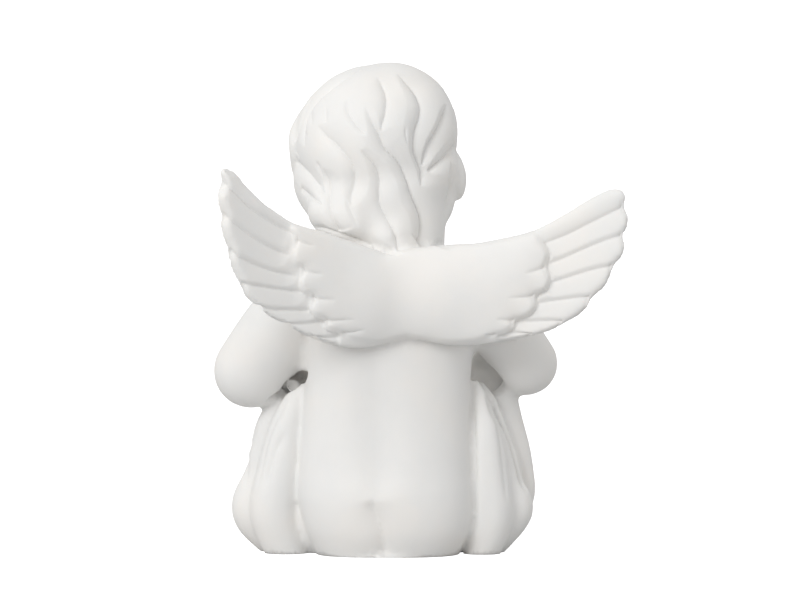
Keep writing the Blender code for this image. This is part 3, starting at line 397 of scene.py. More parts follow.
cloth = {
    "sections": [
        (-4, 1.8, -15.0, 17.0, 15.0),
        (0, 1.8, -15.6, 23.4, 20.0),
        (3, 1.2, -16.0, 28.2, 22.6),
        (8, 0.9, -15.6, 30.0, 22.8),
        (13, 0.0, -15.0, 29.6, 21.6),
        (18, -0.1, -14.0, 29.3, 20.2),
        (24, -0.1, -13.0, 27.6, 18.0),
        (29, -0.5, -12.0, 25.4, 15.6),
        (33, -0.9, -11.0, 21.0, 12.5),
    ],
    "legs": [
        [(10, -4, 20, 10), (14.5, -17, 25, 9.4), (13.5, -24, 24.6, 9.2)],
        [(13.5, -24, 24, 9), (14, -29, 15, 8), (14, -32, 6, 7)],
        [(-10, -4, 20, 10), (-14.5, -17, 25, 9.4), (-13.5, -24, 24.6, 9.2)],
        [(-13.5, -24, 24, 9), (-14, -29, 15, 8), (-14, -32, 6, 7)],
    ],
    "folds": [
        [(-17.8, 0.5, 35, 0.9), (-18.9, 1.4, 31, 1.8), (-20.2, 2.2, 24, 3.2), (-20.9, 2.4, 15, 3.9),
         (-21.0, 2.4, 7, 4.4), (-19.0, 2.2, 0, 3.6)],
        [(-17.9, 1.6, 33, 0.7), (-18.5, 3.0, 27, 1.5), (-19.0, 3.8, 20, 2.1), (-19.3, 4.1, 12, 2.5),
         (-19.2, 3.9, 5, 2.7), (-18.4, 3.2, 0, 2.3)],
        [(-19.0, -2.6, 34, 1.3), (-21.7, -2.0, 28, 2.1), (-24.3, -1.6, 20, 2.5), (-25.4, -1.4, 13, 3.0),
         (-26.0, -1.8, 8, 3.6), (-20.0, -2, 0, 2.8)],
        [(-22.6, -8, 33, 3.6), (-24.6, -8, 26, 3.2), (-27.2, -8, 18, 2.9), (-27.4, -8, 9, 2.8),
         (-20.2, -8, 1, 2.4)],
        [(18.0, 0.5, 33, 2.2), (20.6, 0.8, 26, 3.6), (22.2, 0.9, 16, 4.8), (23.2, 1.0, 8, 5.0),
         (20.6, 0.6, 0, 4.2)],
        [(20.0, -4, 32, 3.0), (23.6, -4.4, 25, 3.8), (25.6, -4.6, 16, 3.9), (27.4, -4.4, 8.0, 4.8),
         (21.4, -4.4, 0.8, 3.6)],
    ],
}


def makeCloth():
    return [
        fused("cloth", [loft(cloth["sections"], 0.9), ropes(cloth["legs"], sides=36)], 0.8, 16),
        fused("folds", [ropes(cloth["folds"], steps=30, sides=32)], 0.6, 4),
    ]


# Hands and feet

limbEnds = {
    "fuse": (0.45, 3),
    "wrist": {1: (8.5, -30.0, 37.4), -1: (-9.0, -29.0, 36.2)},  # 1 is the left hand, -1 the right
    "fingerTips": {1: (-1.5, -34.0, 37.8), -1: (1.0, -31.5, 33.6)},
    "fingerRadius": 1.5,
    "firstFinger": {1: (0, 2.0, -1.0), -1: (0, 1.6, 0)},
    "fingerStep": {1: (0, -1.6, 0.9), -1: (0, -1.4, 0.5)},
    "palm": (6.0, 4.4, 3.3),
    "foot": ((12.0, -37, 3.6), (5.0, 8.0, 4.4)),
    "bigToe": ((8.2, -45.0, 2.7), (1.9, 2.4, 2.0)),
    "toes": 5,
    "toeStep": 2.1,
}


def makeHands():
    balls, fingers = [], []
    for side in (1, -1):
        names = ("wrist", "fingerTips", "firstFinger", "fingerStep")
        wrist, tips, first, step = (np.array(limbEnds[name][side]) for name in names)
        palm = wrist * 0.55 + tips * 0.45
        balls.append((tuple(palm), limbEnds["palm"], (0, side * 6, side * 24)))
        radius = limbEnds["fingerRadius"]
        for k in range(4):
            drop = step * k + first
            start = palm + drop + np.array([-side * 2.5, -1.2, 0.2])
            end = tips + drop + np.array([-side * (2.6 - 0.4 * abs(k - 1.5)), -1.0, -0.9])
            middle = (start + end) / 2 + np.array([0, -0.4, 0.7])
            fingers.append([(*start, radius), (*middle, radius - 0.05), (*end, radius - 0.25)])
    return fused("hands", [lumps(balls), ropes(fingers, steps=12)], *limbEnds["fuse"])


def makeFeet():
    balls = []
    for side in (1, -1):
        for ((x, y, z), size), nod in ((limbEnds["foot"], -8), (limbEnds["bigToe"], 0)):
            balls.append(((side * x, y, z), size, (nod, 0, side * 8)))
        for k in range(limbEnds["toes"]):
            across = side * (8.4 + limbEnds["toeStep"] * k)
            balls.append(((across, -44.6 + 0.21 * k * k, 2.4), (1.35 - 0.12 * k, 2.0, 1.5), (0, 0, side * 8)))
    return fused("feet", [lumps(balls)], *limbEnds["fuse"])


# Head, face and hair

head = {
    "skull": [
        ((3.2, -1.5, 83.1), (16.3, 16.6, 16.6)),
        ((-0.3, -2.5, 86.0), (14.2, 15.0, 14.3)),
        ((-2.2, -0.5, 78.8), (12.2, 12.6, 11.0)),
        ((6.6, -2.0, 76.4), (13.0, 13.6, 11.4)),
        ((2.8, 1.6, 71.6), (14.2, 11.8, 9.8)),
        ((-8.6, -1.4, 72.4), (5.2, 6.0, 6.6)),
    ],
    "lockEnds": [
        ((7.4, 6.2, 71.0), (8.6, 8.0, 7.6), (0, -18, 0)),
        ((-3.0, 6.2, 70.4), (4.8, 7.4, 7.8), (0, -6, 0)),
        ((8.8, 8.0, 68.8), (8.2, 7.0, 5.4), (0, -20, 0)),
        ((-0.8, 8.4, 65.6), (5.4, 6.8, 5.6), (0, -10, 0)),
    ],
    "nape": [(1.2, 2.0, 74, 12.4), (0.0, 2.0, 68, 11.8), (-0.6, 1.8, 62, 11.0)],
    "ear": ((-13.6, -3.4, 77.2), (2.3, 4.0, 5.4), (0, 6, 10)),
    "face": [
        ((0, -4.6, -5.6), (12.8, 11.4, 11.0)),
        ((0, -6.2, 3.4), (12.6, 10.0, 10.0)),
        ((0, -11.6, -12.8), (4.8, 3.8, 3.6)),
        ((6.8, -9.8, -7.0), (5.4, 5.2, 4.9)),
        ((-6.8, -9.8, -7.0), (5.4, 5.2, 4.9)),
    ],
    "featureBalls": [
        ((0, -16.9, -4.0), (1.9, 1.6, 1.5)),
        ((1.9, -15.7, -4.5), (1.1, 1.4, 1.0)),
        ((-1.9, -15.7, -4.5), (1.1, 1.4, 1.0)),
        ((5.4, -13.0, -0.6), (3.1, 2.6, 2.3), (0, 4, 12)),
        ((-5.4, -13.0, -0.6), (3.1, 2.6, 2.3), (0, -4, -12)),
    ],
    "featureRopes": [
        [(0, -14.6, 2.6, 1.5), (0, -15.6, -0.6, 1.3), (0, -16.8, -3.6, 1.6)],
        [(2.4, -15.2, 2.8, 0.6), (5.4, -15.2, 3.7, 0.8), (8.6, -13.2, 2.6, 0.5)],
        [(-2.4, -15.2, 2.8, 0.6), (-5.4, -15.2, 3.7, 0.8), (-8.6, -13.2, 2.6, 0.5)],
        [(-3.0, -14.2, -8.1, 0.5), (-1.2, -15.7, -7.7, 0.8), (0, -15.9, -8.0, 0.75),
         (1.2, -15.7, -7.7, 0.8), (3.0, -14.2, -8.1, 0.5)],
        [(-2.4, -14.4, -9.0, 0.6), (0, -15.5, -9.6, 1.0), (2.4, -14.4, -9.0, 0.6)],
    ],
}


# Keeps the outer skin alone, without the closed pockets between the shapes inside the figure.
def keepOuter(mesh):
    clay = bmesh.new()
    clay.from_mesh(mesh)
    shells, seen = [], set()
    for vert in clay.verts:
        if vert in seen:
            continue
        seen.add(vert)
        shell, front = [], [vert]
        while front:
            point = front.pop()
            shell.append(point)
            for edge in point.link_edges:
                other = edge.other_vert(point)
                if other not in seen:
                    seen.add(other)
                    front.append(other)
        shells.append(shell)
    shells.sort(key=len)
    bmesh.ops.delete(clay, geom=[vert for shell in shells[:-1] for vert in shell], context="VERTS")
    clay.to_mesh(mesh)
    clay.free()


# Finds points on a mesh along straight lines.
class Surface:
    def __init__(self, mesh):
        self.tree = BVHTree.FromPolygons([v.co for v in mesh.vertices], [p.vertices for p in mesh.polygons])

    def meet(self, start, end):
        return self.tree.ray_cast(start, end - start)[0]

    def behind(self, x, z):
        return self.meet(onSight(x, z, 70), onSight(x, z, -40))

    def ahead(self, x, z):
        return self.meet(Vector((x, -90, z)), Vector((x, 0, z)))

    def beside(self, side, y, z):
        return self.meet(Vector((side * 90, y, z)), Vector((0, y, z)))

    def onFace(self, x, z):
        return self.meet(headPlace @ Vector((x, -40, z)), headPlace @ Vector((x, 0, z)))

    def aroundHead(self, azimuth, elevation):  # azimuth 0 is the front of the head, 90 its own left
        a, e = math.radians(azimuth), math.radians(elevation)
        out = Vector((math.sin(a) * math.cos(e), -math.cos(a) * math.cos(e), math.sin(e)))
        return self.meet(headPlace @ (out * 50), headPlace @ Vector((0, 0, 0)))


fringe = {
    "locks": [  # azimuth and elevation of each point, radius, how far the end lifts
        ([(-52, 52), (-66, 40), (-65, 28), (-55, 20), (-48, 23)], 3.1, 0.0),
        ([(-28, 52), (-42, 40), (-41, 28), (-31, 20), (-24, 23)], 3.1, 0.0),
        ([(-24, 52), (-10, 40), (-11, 28), (-21, 20), (-28, 23)], 3.1, 0.0),
        ([(20, 52), (6, 40), (7, 28), (17, 20), (24, 23)], 3.1, 0.0),
        ([(24, 52), (38, 40), (37, 28), (27, 20), (20, 23)], 3.1, 0.0),
        ([(68, 52), (54, 40), (55, 28), (65, 20), (72, 23)], 3.1, 0.0),
        ([(-8, 62), (4, 46), (-4, 32), (4, 22), (13, 24)], 3.3, 0.6),
        ([(84, 34), (78, 16), (86, 0), (76, -14), (69, -12)], 3.2, 0.0),
        ([(-78, 34), (-72, 16), (-80, 0), (-70, -14), (-63, -12)], 3.2, 0.0),
    ],
    "sunk": 0.62,  # share of the radius
    "rootSunk": 1.6,
    "thinning": 0.62,
    "stations": 18,
}


def makeFringe(skull):
    surface = Surface(skull)
    centre = headPlace @ Vector((0, 0, 0))
    paths, share = [], np.linspace(0, 1, fringe["stations"])
    for path, thick, lift in fringe["locks"]:
        stations = []
        for t, (azimuth, elevation) in zip(share, smoothPath(path, fringe["stations"])):
            radius = thick * (1 - fringe["thinning"] * t**2)
            point = surface.aroundHead(azimuth, elevation)
            sunk = fringe["sunk"] * radius + fringe["rootSunk"] * max(1 - 3 * t, 0) - lift * t * t
            stations.append((*(point + (centre - point).normalized() * sunk), radius))
        paths.append(stations)
    return fused("fringe", [ropes(paths, steps=40)], 0.45, 3)


def makeHead():
    shapes = [lumps(head["skull"]), lumps(head["lockEnds"]), ropes([head["nape"]], sides=36)]
    skull = fused("skull", shapes, 0.8, 16)
    features = [lumps(head["featureBalls"]), ropes(head["featureRopes"], 16)]
    return [
        makeFringe(skull),
        skull,
        fused("ear", [lumps([head["ear"]])], 0.5, 2),
        placed(fused("face", [lumps(head["face"])], 0.6, 8), headPlace),
        placed(fused("features", features, 0.3, 4), headPlace),
    ]


# Wings. Each is a blade drawn on the back elevation: its outline, and the rim of the short
# feathers that lie on its root. The blade runs back from the spine by sweep.

wings = {
    "left": {
        "spine": (-2.0, 12.6),
        "tipRound": 1.2,  # how much further in the edge is rounded at the tips
        "tipCurl": 1.9,  # how far forward the edge bends at the tips
        "sweep": (0.40, 0.0050),
        "outline": [
            (-11.0, 59.0), (-3.5, 60.8), (0.2, 61.4), (7.2, 63.7), (13.0, 65.7), (18.8, 67.3),
            (22.7, 69.7), (25.7, 71.9), (28.8, 75.0), (30.8, 77.4), (32.4, 78.6), (33.8, 78.8),
            (34.3, 77.6), (34.1, 75.7), (35.0, 73.2), (34.8, 71.3), (34.1, 69.1), (34.3, 66.8),
            (33.7, 64.4), (32.8, 62.0), (32.7, 59.8), (31.7, 57.3), (30.4, 54.9), (29.1, 52.2),
            (26.7, 50.2), (24.3, 48.2), (21.0, 46.6), (17.8, 44.8), (13.8, 43.2), (10.4, 42.3),
            (7.0, 41.9), (3.1, 42.1), (-0.4, 42.9), (-3.8, 43.7), (-11.0, 45.0),
        ],
        "lines": [
            [(34.2, 75.8), (31.8, 74.5), (27.5, 70.3), (23.0, 67.3), (18.8, 65.0)],
            [(34.2, 69.1), (31.8, 68.0), (27.4, 64.6), (23.6, 62.3), (19.9, 60.7)],
            [(32.9, 62.0), (30.3, 60.5), (26.2, 58.6), (22.6, 57.4), (18.4, 56.5)],
            [(30.5, 54.9), (27.0, 54.6), (22.4, 53.9), (16.6, 53.2)],
            [(26.8, 50.3), (23.4, 49.7), (18.8, 49.6), (14.4, 49.6)],
            [(21.1, 46.6), (17.6, 46.8), (13.6, 47.1), (11.6, 47.3)],
            [(15.6, 43.9), (12.4, 43.9), (9.6, 44.1)],
        ],
        "rim": [
            (-15.0, 59.0), (-3.5, 60.8), (0.2, 61.4), (7.2, 63.7), (13.0, 65.7), (18.2, 67.6),
            (19.7, 66.4), (18.9, 64.1), (19.6, 61.4), (19.0, 59.2), (17.6, 58.0), (18.2, 55.6),
            (17.4, 53.4), (15.6, 52.2), (15.9, 49.8), (14.8, 48.2), (13.0, 47.4), (12.4, 45.6),
            (9.4, 44.7), (8.4, 43.8), (5.0, 43.0), (2.0, 42.6), (-0.4, 42.9), (-3.8, 43.7), (-15.0, 45.0),
        ],
        "shortLines": [
            [(18.9, 64.0), (17.0, 63.3), (14.7, 62.7)],
            [(17.6, 58.0), (15.8, 57.3), (13.0, 57.0)],
            [(15.5, 52.2), (13.4, 51.8), (10.4, 51.8)],
            [(12.9, 47.4), (10.8, 47.4), (6.6, 47.7)],
            [(9.3, 44.7), (7.2, 45.0), (4.6, 45.7)],
        ],
        "shoulderTop": [(-4.5, 60.6), (-1, 61.3), (3.0, 62.4), (10.0, 64.8), (18.0, 66.6)],
        "shoulderBottom": [(-4.5, 43.8), (-1, 43.0), (4.0, 42.4), (9.5, 44.6), (14.5, 51.5)],
        "upper": [(19.0, 67.5), (13.0, 65.9), (7.2, 63.9), (0.2, 61.6), (-3.0, 61.0)],
        "lower": [(17.8, 44.7), (13.8, 43.1), (10.4, 42.2), (7.0, 41.8), (3.1, 42.0), (-0.4, 42.8)],
    },
    "right": {
        "spine": (-5.0, 13.1),
        "tipRound": 0.6,
        "tipCurl": 0.3,
        "sweep": (0.16, 0.0032),
        "outline": [
            (4.0, 60.5), (-3.5, 62.2), (-5.7, 62.5), (-10.3, 63.1), (-14.4, 63.1), (-18.0, 63.4),
            (-22.9, 64.3), (-27.8, 65.4), (-31.4, 66.8), (-36.3, 69.5), (-41.2, 72.5), (-44.9, 74.3),
            (-47.3, 74.4), (-48.5, 73.0), (-48.2, 70.9), (-49.1, 68.5), (-48.9, 66.6), (-48.0, 64.9),
            (-48.4, 62.8), (-47.9, 60.7), (-46.0, 58.5), (-45.5, 56.6), (-44.2, 54.3), (-41.6, 52.0),
            (-40.7, 50.1), (-38.4, 48.2), (-36.0, 46.9), (-34.0, 45.7), (-30.0, 44.4), (-26.3, 43.6),
            (-21.4, 42.9), (-16.5, 42.4), (-11.6, 42.6), (-8.2, 43.2), (-3.8, 43.7), (4.0, 45.0),
        ],
        "lines": [
            [(-48.1, 70.8), (-45.0, 69.4), (-40.0, 66.9), (-36.0, 64.9), (-31.0, 63.0)],
            [(-47.9, 64.9), (-45.0, 64.2), (-40.0, 62.2), (-36.0, 60.4), (-31.5, 58.6)],
            [(-45.9, 58.5), (-43.0, 58.2), (-39.0, 57.1), (-35.0, 55.8), (-31.5, 54.6)],
            [(-41.6, 52.0), (-39.0, 52.2), (-35.0, 51.7), (-31.5, 51.2), (-28.5, 50.6)],
            [(-36.0, 47.0), (-33.0, 47.4), (-29.5, 47.3), (-25.0, 47.2)],
            [(-29.5, 44.4), (-27.0, 44.8), (-24.0, 45.0), (-22.0, 45.0)],
        ],
        "rim": [
            (8.0, 60.5), (-3.5, 62.2), (-5.7, 62.5), (-10.3, 63.1), (-14.4, 63.1), (-18.0, 63.4),
            (-22.9, 64.3), (-27.8, 65.5), (-30.0, 65.7), (-31.6, 63.6), (-32.8, 61.0), (-32.3, 58.5),
            (-33.1, 56.1), (-32.3, 53.6), (-30.1, 52.5), (-30.3, 50.4), (-28.6, 48.3), (-26.0, 47.4),
            (-25.8, 46.1), (-23.8, 44.8), (-22.2, 44.4), (-20.2, 43.6), (-16.5, 42.8), (-11.6, 42.6),
            (-8.2, 43.2), (-3.8, 43.7), (8.0, 45.0),
        ],
        "shortLines": [
            [(-32.3, 58.5), (-30.2, 57.7), (-27.8, 57.1)],
            [(-30.1, 52.5), (-27.6, 52.2), (-24.3, 52.1)],
            [(-26.0, 47.4), (-24.4, 47.5), (-21.9, 47.8)],
            [(-22.3, 44.4), (-21.2, 44.4), (-19.6, 44.6)],
        ],
        "rimLine": [
            (-32.1, 63.2), (-33.1, 61.0), (-32.7, 58.5), (-33.4, 56.1), (-32.6, 53.5), (-30.6, 52.4),
            (-30.6, 50.3), (-29.0, 48.2), (-26.6, 47.3), (-26.1, 45.9), (-24.0, 44.6),
        ],
        "shoulderTop": [(-1.5, 62.2), (-5.0, 62.9), (-12.0, 63.2), (-22.0, 64.3), (-29.5, 65.4)],
        "shoulderBottom": [(-1.5, 44.0), (-5.0, 43.3), (-12.0, 42.7), (-20.0, 44.6), (-27.5, 52.0)],
        "upper": [(-7.5, 62.6), (-10.3, 63.3), (-14.4, 63.3)],
        "lower": [(-5.3, 43.4), (-8.2, 43.1), (-11.6, 42.5), (-16.5, 42.3), (-21.4, 42.8), (-26.3, 43.5)],
    },
    "bladeThickness": (2.6, 2.3),  # at the spine and at the tips
    "length": 45,
    "slabHalf": 1.2,
    "slabFace": 1.1,
    "thinnest": 0.35,
    "edgeRadius": 1.0,
    "roundFrom": (0.5, 0.75),  # shares of the length
    "curlFrom": (0.625, 0.75),
    "curlWidth": 2.6,
    "rimSlope": 0.5,
    "rimEdge": 2.2,
    "rimHeight": 1.25,
    "rimRise": 2.6,  # how much the short feathers thicken away from their tips
    "rimRound": 7.0,
    "shoulder": (6.0, 4.2),
    "valley": 1.6,
    "easeInside": 1.2,
    "easeFade": 2.5,
    "easePasses": 90,
}


# How far each (x, z) lies inside a closed outline, negative outside it.
def outlineDistance(points, outline):
    ends = np.roll(outline, -1, axis=0)
    nearest = np.full(len(points), 1e9)
    inside = np.zeros(len(points), bool)
    for a, b in zip(outline, ends):
        step = b - a
        t = np.clip((points - a) @ step / (step @ step + 1e-12), 0, 1)
        away = points - a - t[:, None] * step
        nearest = np.minimum(nearest, np.einsum("ij,ij->i", away, away))
        crosses = (a[1] > points[:, 1]) != (b[1] > points[:, 1])
        if abs(step[1]) > 1e-9:
            inside ^= crosses & (points[:, 0] < a[0] + (points[:, 1] - a[1]) / step[1] * step[0])
    return np.sqrt(nearest) * np.where(inside, 1, -1)


# How far back a blade lies at x. Both rise from one round valley at the spine.
def bladeDepth(x):
    rises = []
    for wing, side in ((wings["left"], 1), (wings["right"], -1)):
        d = side * (x - wing["spine"][0])
        rises.append(wing["spine"][1] + wing["sweep"][0] * d + wing["sweep"][1] * np.maximum(d, 0) ** 2)
    middle, half = (rises[0] + rises[1]) / 2, (rises[0] - rises[1]) / 2
    return middle + np.sqrt(half**2 + wings["valley"] ** 2) - wings["valley"] / 2


# A flat slab in the outline, fused to even faces, then bent, rounded and thickened.
def makeBlade(wing):
    outline = smoothPath(wing["outline"], 260)
    rim = smoothPath(wing["rim"], 220)
    points = [(x, y, z) for y in (-wings["slabHalf"], wings["slabHalf"]) for x, z in outline]
    slab = facingOut(tube("slab", points, len(outline)), triangles=True)
    mesh = fused("blade", [slab], 0.4, 1)
    flat = vectors(mesh.vertices, "co")
    seen = flat[:, [0, 2]]
    inside = np.maximum(outlineDistance(seen, outline), 0)
    far = np.clip(np.abs(seen[:, 0] - wing["spine"][0]) / wings["length"], 0, 1)
    atSpine, atTips = wings["bladeThickness"]
    thick = atSpine + (atTips - atSpine) * far
    edge = np.clip(inside / (wings["edgeRadius"] + wing["tipRound"] * ramp(far, *wings["roundFrom"])), 0, 1)
    half = np.maximum(0.5 * thick * np.sqrt(1 - (1 - edge) ** 2), wings["thinnest"])
    onRim = np.maximum(outlineDistance(seen, rim), 0)
    raised = wings["rimHeight"] * (1 - np.exp(-onRim / wings["rimSlope"]))
    raised += wings["rimRise"] * (1 - np.exp(-onRim / wings["rimRound"]))
    raised *= np.sqrt(1 - (1 - np.clip(inside / wings["rimEdge"], 0, 1)) ** 2)
    side = np.clip(flat[:, 1] / wings["slabFace"], -1, 1)
    depth = bladeDepth(seen[:, 0]) + side * half + np.where(side > 0, raised * side, 0)
    curl = (1 - np.clip(inside / wings["curlWidth"], 0, 1)) ** 1.5
    depth -= wing["tipCurl"] * ramp(far, *wings["curlFrom"]) * curl
    places = [onSight(x, z, y) for (x, z), y in zip(seen, depth)]
    mesh.vertices.foreach_set("co", np.array(places).ravel())
    return mesh


# The smooth cushion from the valley at the spine out under the short feathers.
def makeShoulder(wing):
    around, along = 40, 60
    top, bottom = smoothPath(wing["shoulderTop"], along), smoothPath(wing["shoulderBottom"], along)
    angles = np.linspace(0, 2 * np.pi, around, endpoint=False)
    atSpine, atRim = wings["shoulder"]
    points = []
    for k in range(1, along - 1):
        t = k / (along - 1)
        swell = math.sin(math.pi * t)
        middle, half = (top[k] + bottom[k]) / 2, (top[k] - bottom[k]) / 2 * swell**0.35
        thick = atSpine + (atRim - atSpine) * t
        for a in angles:
            x, z = middle + half * math.cos(a)
            bulge = math.copysign(abs(math.sin(a)) ** 0.9, math.sin(a)) * thick * swell**0.7
            points.append(onSight(x, z, bladeDepth(x) + bulge))
    return facingOut(tube("shoulder", points, around))


# Evens out the cushions at the wing roots and the valley between them, within the short
# feathers' rims, and leaves the tips of the feathers sharp.
def easeCushions(mesh):
    points = vectors(mesh.vertices, "co")
    ends = np.empty(len(mesh.edges) * 2, int)
    mesh.edges.foreach_get("vertices", ends)
    a, b = ends.reshape(-1, 2).T
    seen = seenFrom(points)
    within = np.full(len(points), -9.0)
    back = np.nonzero(points[:, 1] > 4)[0]  # the front of the figure is left alone
    for wing in (wings["left"], wings["right"]):
        within[back] = np.maximum(within[back], outlineDistance(seen[back], smoothPath(wing["rim"], 120)))
    pull = 0.5 * np.clip((within - wings["easeInside"]) / wings["easeFade"], 0, 1)[:, None]
    used = (pull[a, 0] > 0) | (pull[b, 0] > 0)
    a, b = a[used], b[used]
    start, end = np.concatenate([a, b]), np.concatenate([b, a])
    count = np.maximum(np.bincount(start, minlength=len(points)), 1)[:, None]
    for _ in range(wings["easePasses"]):
        sums = [np.bincount(start, points[end, k], len(points)) for k in range(3)]
        points += pull * (np.stack(sums, 1) / count - points)
    mesh.vertices.foreach_set("co", points.ravel())
    mesh.update()


def makeWings():
    pair = (wings["left"], wings["right"])
    shoulders = fused("shoulders", [makeShoulder(wing) for wing in pair], 0.6, 12)
    return [*(makeBlade(wing) for wing in pair), shoulders]


# Carving: grooves pressed into the fused surface. A broad flank and a steep one meet at the line.

cut = {
    "reach": 3.4,  # widths that a groove is felt over
    "slitWidth": 0.3,
    "endWidth": 0.35,  # share of the width that is left at the ends
}
up = (0, 0, 1)


class Carver(Surface):
    def __init__(self, coarse, mesh):
        super().__init__(coarse)
        self.mesh = mesh
        self.points = vectors(mesh.vertices, "co")
        self.normals = vectors(mesh.vertex_normals, "vector")
        self.depth = np.zeros(len(self.points))

    # The plus flank lies to the side of plus, and slit is the narrow line's share of the depth.
    def groove(self, path, depth, plusWidth, minusWidth, fade=(0.15, 0.15), plus=(1, 0, 0),
               sharp=1.15, slit=0.2, where=None):
        path = [p for p in path if p]
        if len(path) < 3:
            return
        path = np.array(path)
        reach = cut["reach"] * max(plusWidth, minusWidth)
        near = np.all((self.points > path.min(0) - reach) & (self.points < path.max(0) + reach), axis=1)
        index = np.nonzero(near)[0]
        points, normals = self.points[index], self.normals[index]
        best = np.full(len(index), 1e9)
        share, offset = np.zeros(len(index)), np.zeros((len(index), 3))
        along = np.zeros((len(index), 3))
        for k in range(len(path) - 1):
            a, step = path[k], path[k + 1] - path[k]
            t = np.clip((points - a) @ step / (step @ step + 1e-12), 0, 1)
            away = points - a - t[:, None] * step
            gap = np.einsum("ij,ij->i", away, away)
            closer = gap < best
            best[closer], offset[closer], along[closer] = gap[closer], away[closer], step
            share[closer] = (k + t[closer]) / (len(path) - 1)
        gap = np.sqrt(best)
        side = np.cross(along, normals)
        side *= np.sign(side @ np.array(plus))[:, None]
        width = np.where(np.einsum("ij,ij->i", side, offset) > 0, plusWidth, minusWidth)
        swell = np.clip(share / fade[0], 0, 1) * np.clip((1 - share) / fade[1], 0, 1)
        swell = swell * (2 - swell)
        width = width * (cut["endWidth"] + (1 - cut["endWidth"]) * swell)
        flank, line = np.exp(-((gap / width) ** sharp)), np.exp(-gap / cut["slitWidth"])
        press = depth * swell * ((1 - slit) * flank + slit * line)
        if where is not None:
            press = press * where[index]
        self.depth[index] = np.maximum(self.depth[index], press)

    def grooveBehind(self, points, *profile, **options):
        length = np.linalg.norm(np.diff(np.array(points), axis=0), axis=1).sum()
        count = max(12, int(2.2 * length))
        self.groove([self.behind(x, z) for x, z in smoothPath(points, count)], *profile, **options)

    def finish(self):
        moved = self.points - self.normals * self.depth[:, None]
        self.mesh.vertices.foreach_set("co", moved.ravel())
        self.mesh.update()


# Each line of the hair at the back: its path on the elevation, depth, width of the flank
# towards +X and of the flank towards -X, and how much of its ends fades out.
hairLines = [
    ([(2.2, 97.3), (0.8, 95.2), (0.2, 92.8), (0.5, 89.8), (1.2, 87.1), (1.0, 84.3)],
     1.1, 1.3, 2.6, (0.25, 0.2)),
    ([(4.9, 91.7), (3.3, 88.1), (1.9, 85.7), (0.5, 82.7), (-1.4, 80.8), (-3.0, 78.9), (-4.5, 76.2),
      (-5.3, 73.7), (-6.4, 71.3), (-7.3, 69.1), (-7.5, 66.6), (-7.2, 64.5), (-6.3, 63.1)],
     2.0, 1.9, 3.2, (0.3, 0.02)),
    ([(-1.9, 97.9), (-3.8, 96.6), (-5.4, 95.2), (-6.5, 93.3), (-7.1, 91.1), (-6.8, 88.7), (-6.1, 86.2),
      (-5.9, 83.8), (-6.0, 81.6), (-6.7, 79.7), (-7.3, 77.8), (-7.3, 75.9), (-6.8, 74.3)],
     1.7, 1.8, 2.8, (0.2, 0.15)),
    ([(-12.0, 91.7), (-11.8, 89.0), (-10.5, 86.0), (-8.8, 83.2), (-7.9, 80.8), (-7.5, 78.6)],
     1.6, 1.5, 1.6, (0.25, 0.1)),
    ([(-14.3, 84.1), (-13.3, 81.9), (-11.2, 80.1), (-9.3, 78.5), (-8.2, 77.7)],
     1.6, 1.4, 1.4, (0.1, 0.25)),
    ([(-13.1, 81.1), (-13.3, 77.8), (-12.9, 74.8), (-12.1, 71.3), (-11.5, 68.8)],
     0.9, 1.2, 1.0, (0.2, 0.3)),
    ([(6.4, 82.4), (4.9, 81.5), (3.4, 79.8), (2.3, 78.1), (1.8, 76.2), (2.0, 74.0), (1.9, 71.5),
      (1.1, 69.5), (-0.3, 67.4), (-1.4, 65.6), (-2.0, 63.6), (-2.2, 61.6)],
     1.7, 1.6, 2.6, (0.35, 0.12)),
    ([(8.4, 92.8), (8.5, 90.9), (7.8, 89.2), (6.5, 87.3), (5.1, 86.0), (3.9, 85.3)],
     0.7, 0.9, 2.2, (0.4, 0.4)),
    ([(14.3, 87.3), (13.1, 85.4), (11.2, 83.6), (9.5, 81.7), (8.1, 79.8), (7.2, 77.9), (7.1, 75.6),
      (7.6, 72.8), (7.4, 70.4)],
     1.4, 1.5, 2.8, (0.3, 0.3)),
    ([(8.8, 73.5), (8.4, 71.8), (7.6, 70.0), (6.7, 67.9), (6.1, 66.2)], 0.45, 1.4, 0.9, (0.5, 0.5)),
    ([(12.6, 91.3), (12.8, 89.6), (12.7, 87.6)], 0.35, 0.9, 0.6, (0.4, 0.4)),
    ([(18.0, 86.6), (17.3, 85.9), (16.5, 85.2)], 0.4, 0.9, 0.7, (0.4, 0.4)),
    ([(16.0, 92.5), (15.9, 89.8), (15.5, 87.6)], 0.4, 1.2, 0.8, (0.4, 0.4)),
    ([(19.1, 80.0), (18.0, 78.8), (16.5, 77.4), (14.9, 75.6), (13.6, 74.1), (12.8, 72.6)],
     1.0, 1.0, 1.8, (0.1, 0.3)),
    ([(14.9, 80.2), (14.1, 78.5), (13.3, 76.3)], 0.5, 1.0, 0.6, (0.4, 0.4)),
    ([(13.3, 78.6), (12.7, 76.4), (12.4, 74.1), (12.1, 71.7), (11.6, 68.7), (10.8, 66.5), (9.9, 65.1)],
     1.2, 1.6, 2.2, (0.3, 0.05)),
    ([(18.0, 74.5), (16.5, 73.2), (14.7, 72.1), (13.1, 70.7)], 0.7, 1.2, 0.8, (0.1, 0.3)),
    ([(-3.8, 88.1), (-3.7, 86.1), (-4.1, 83.9), (-5.0, 82.1), (-5.6, 80.9)], 0.6, 0.7, 1.2, (0.4, 0.1)),
]


crown = {
    "azimuths": range(-110, 130, 20),
    "starts": (80, 66, 74),
    "ends": {"face": 30, "side": 2},
    "faceWidth": 70,
    "waves": (-6, 7),
}


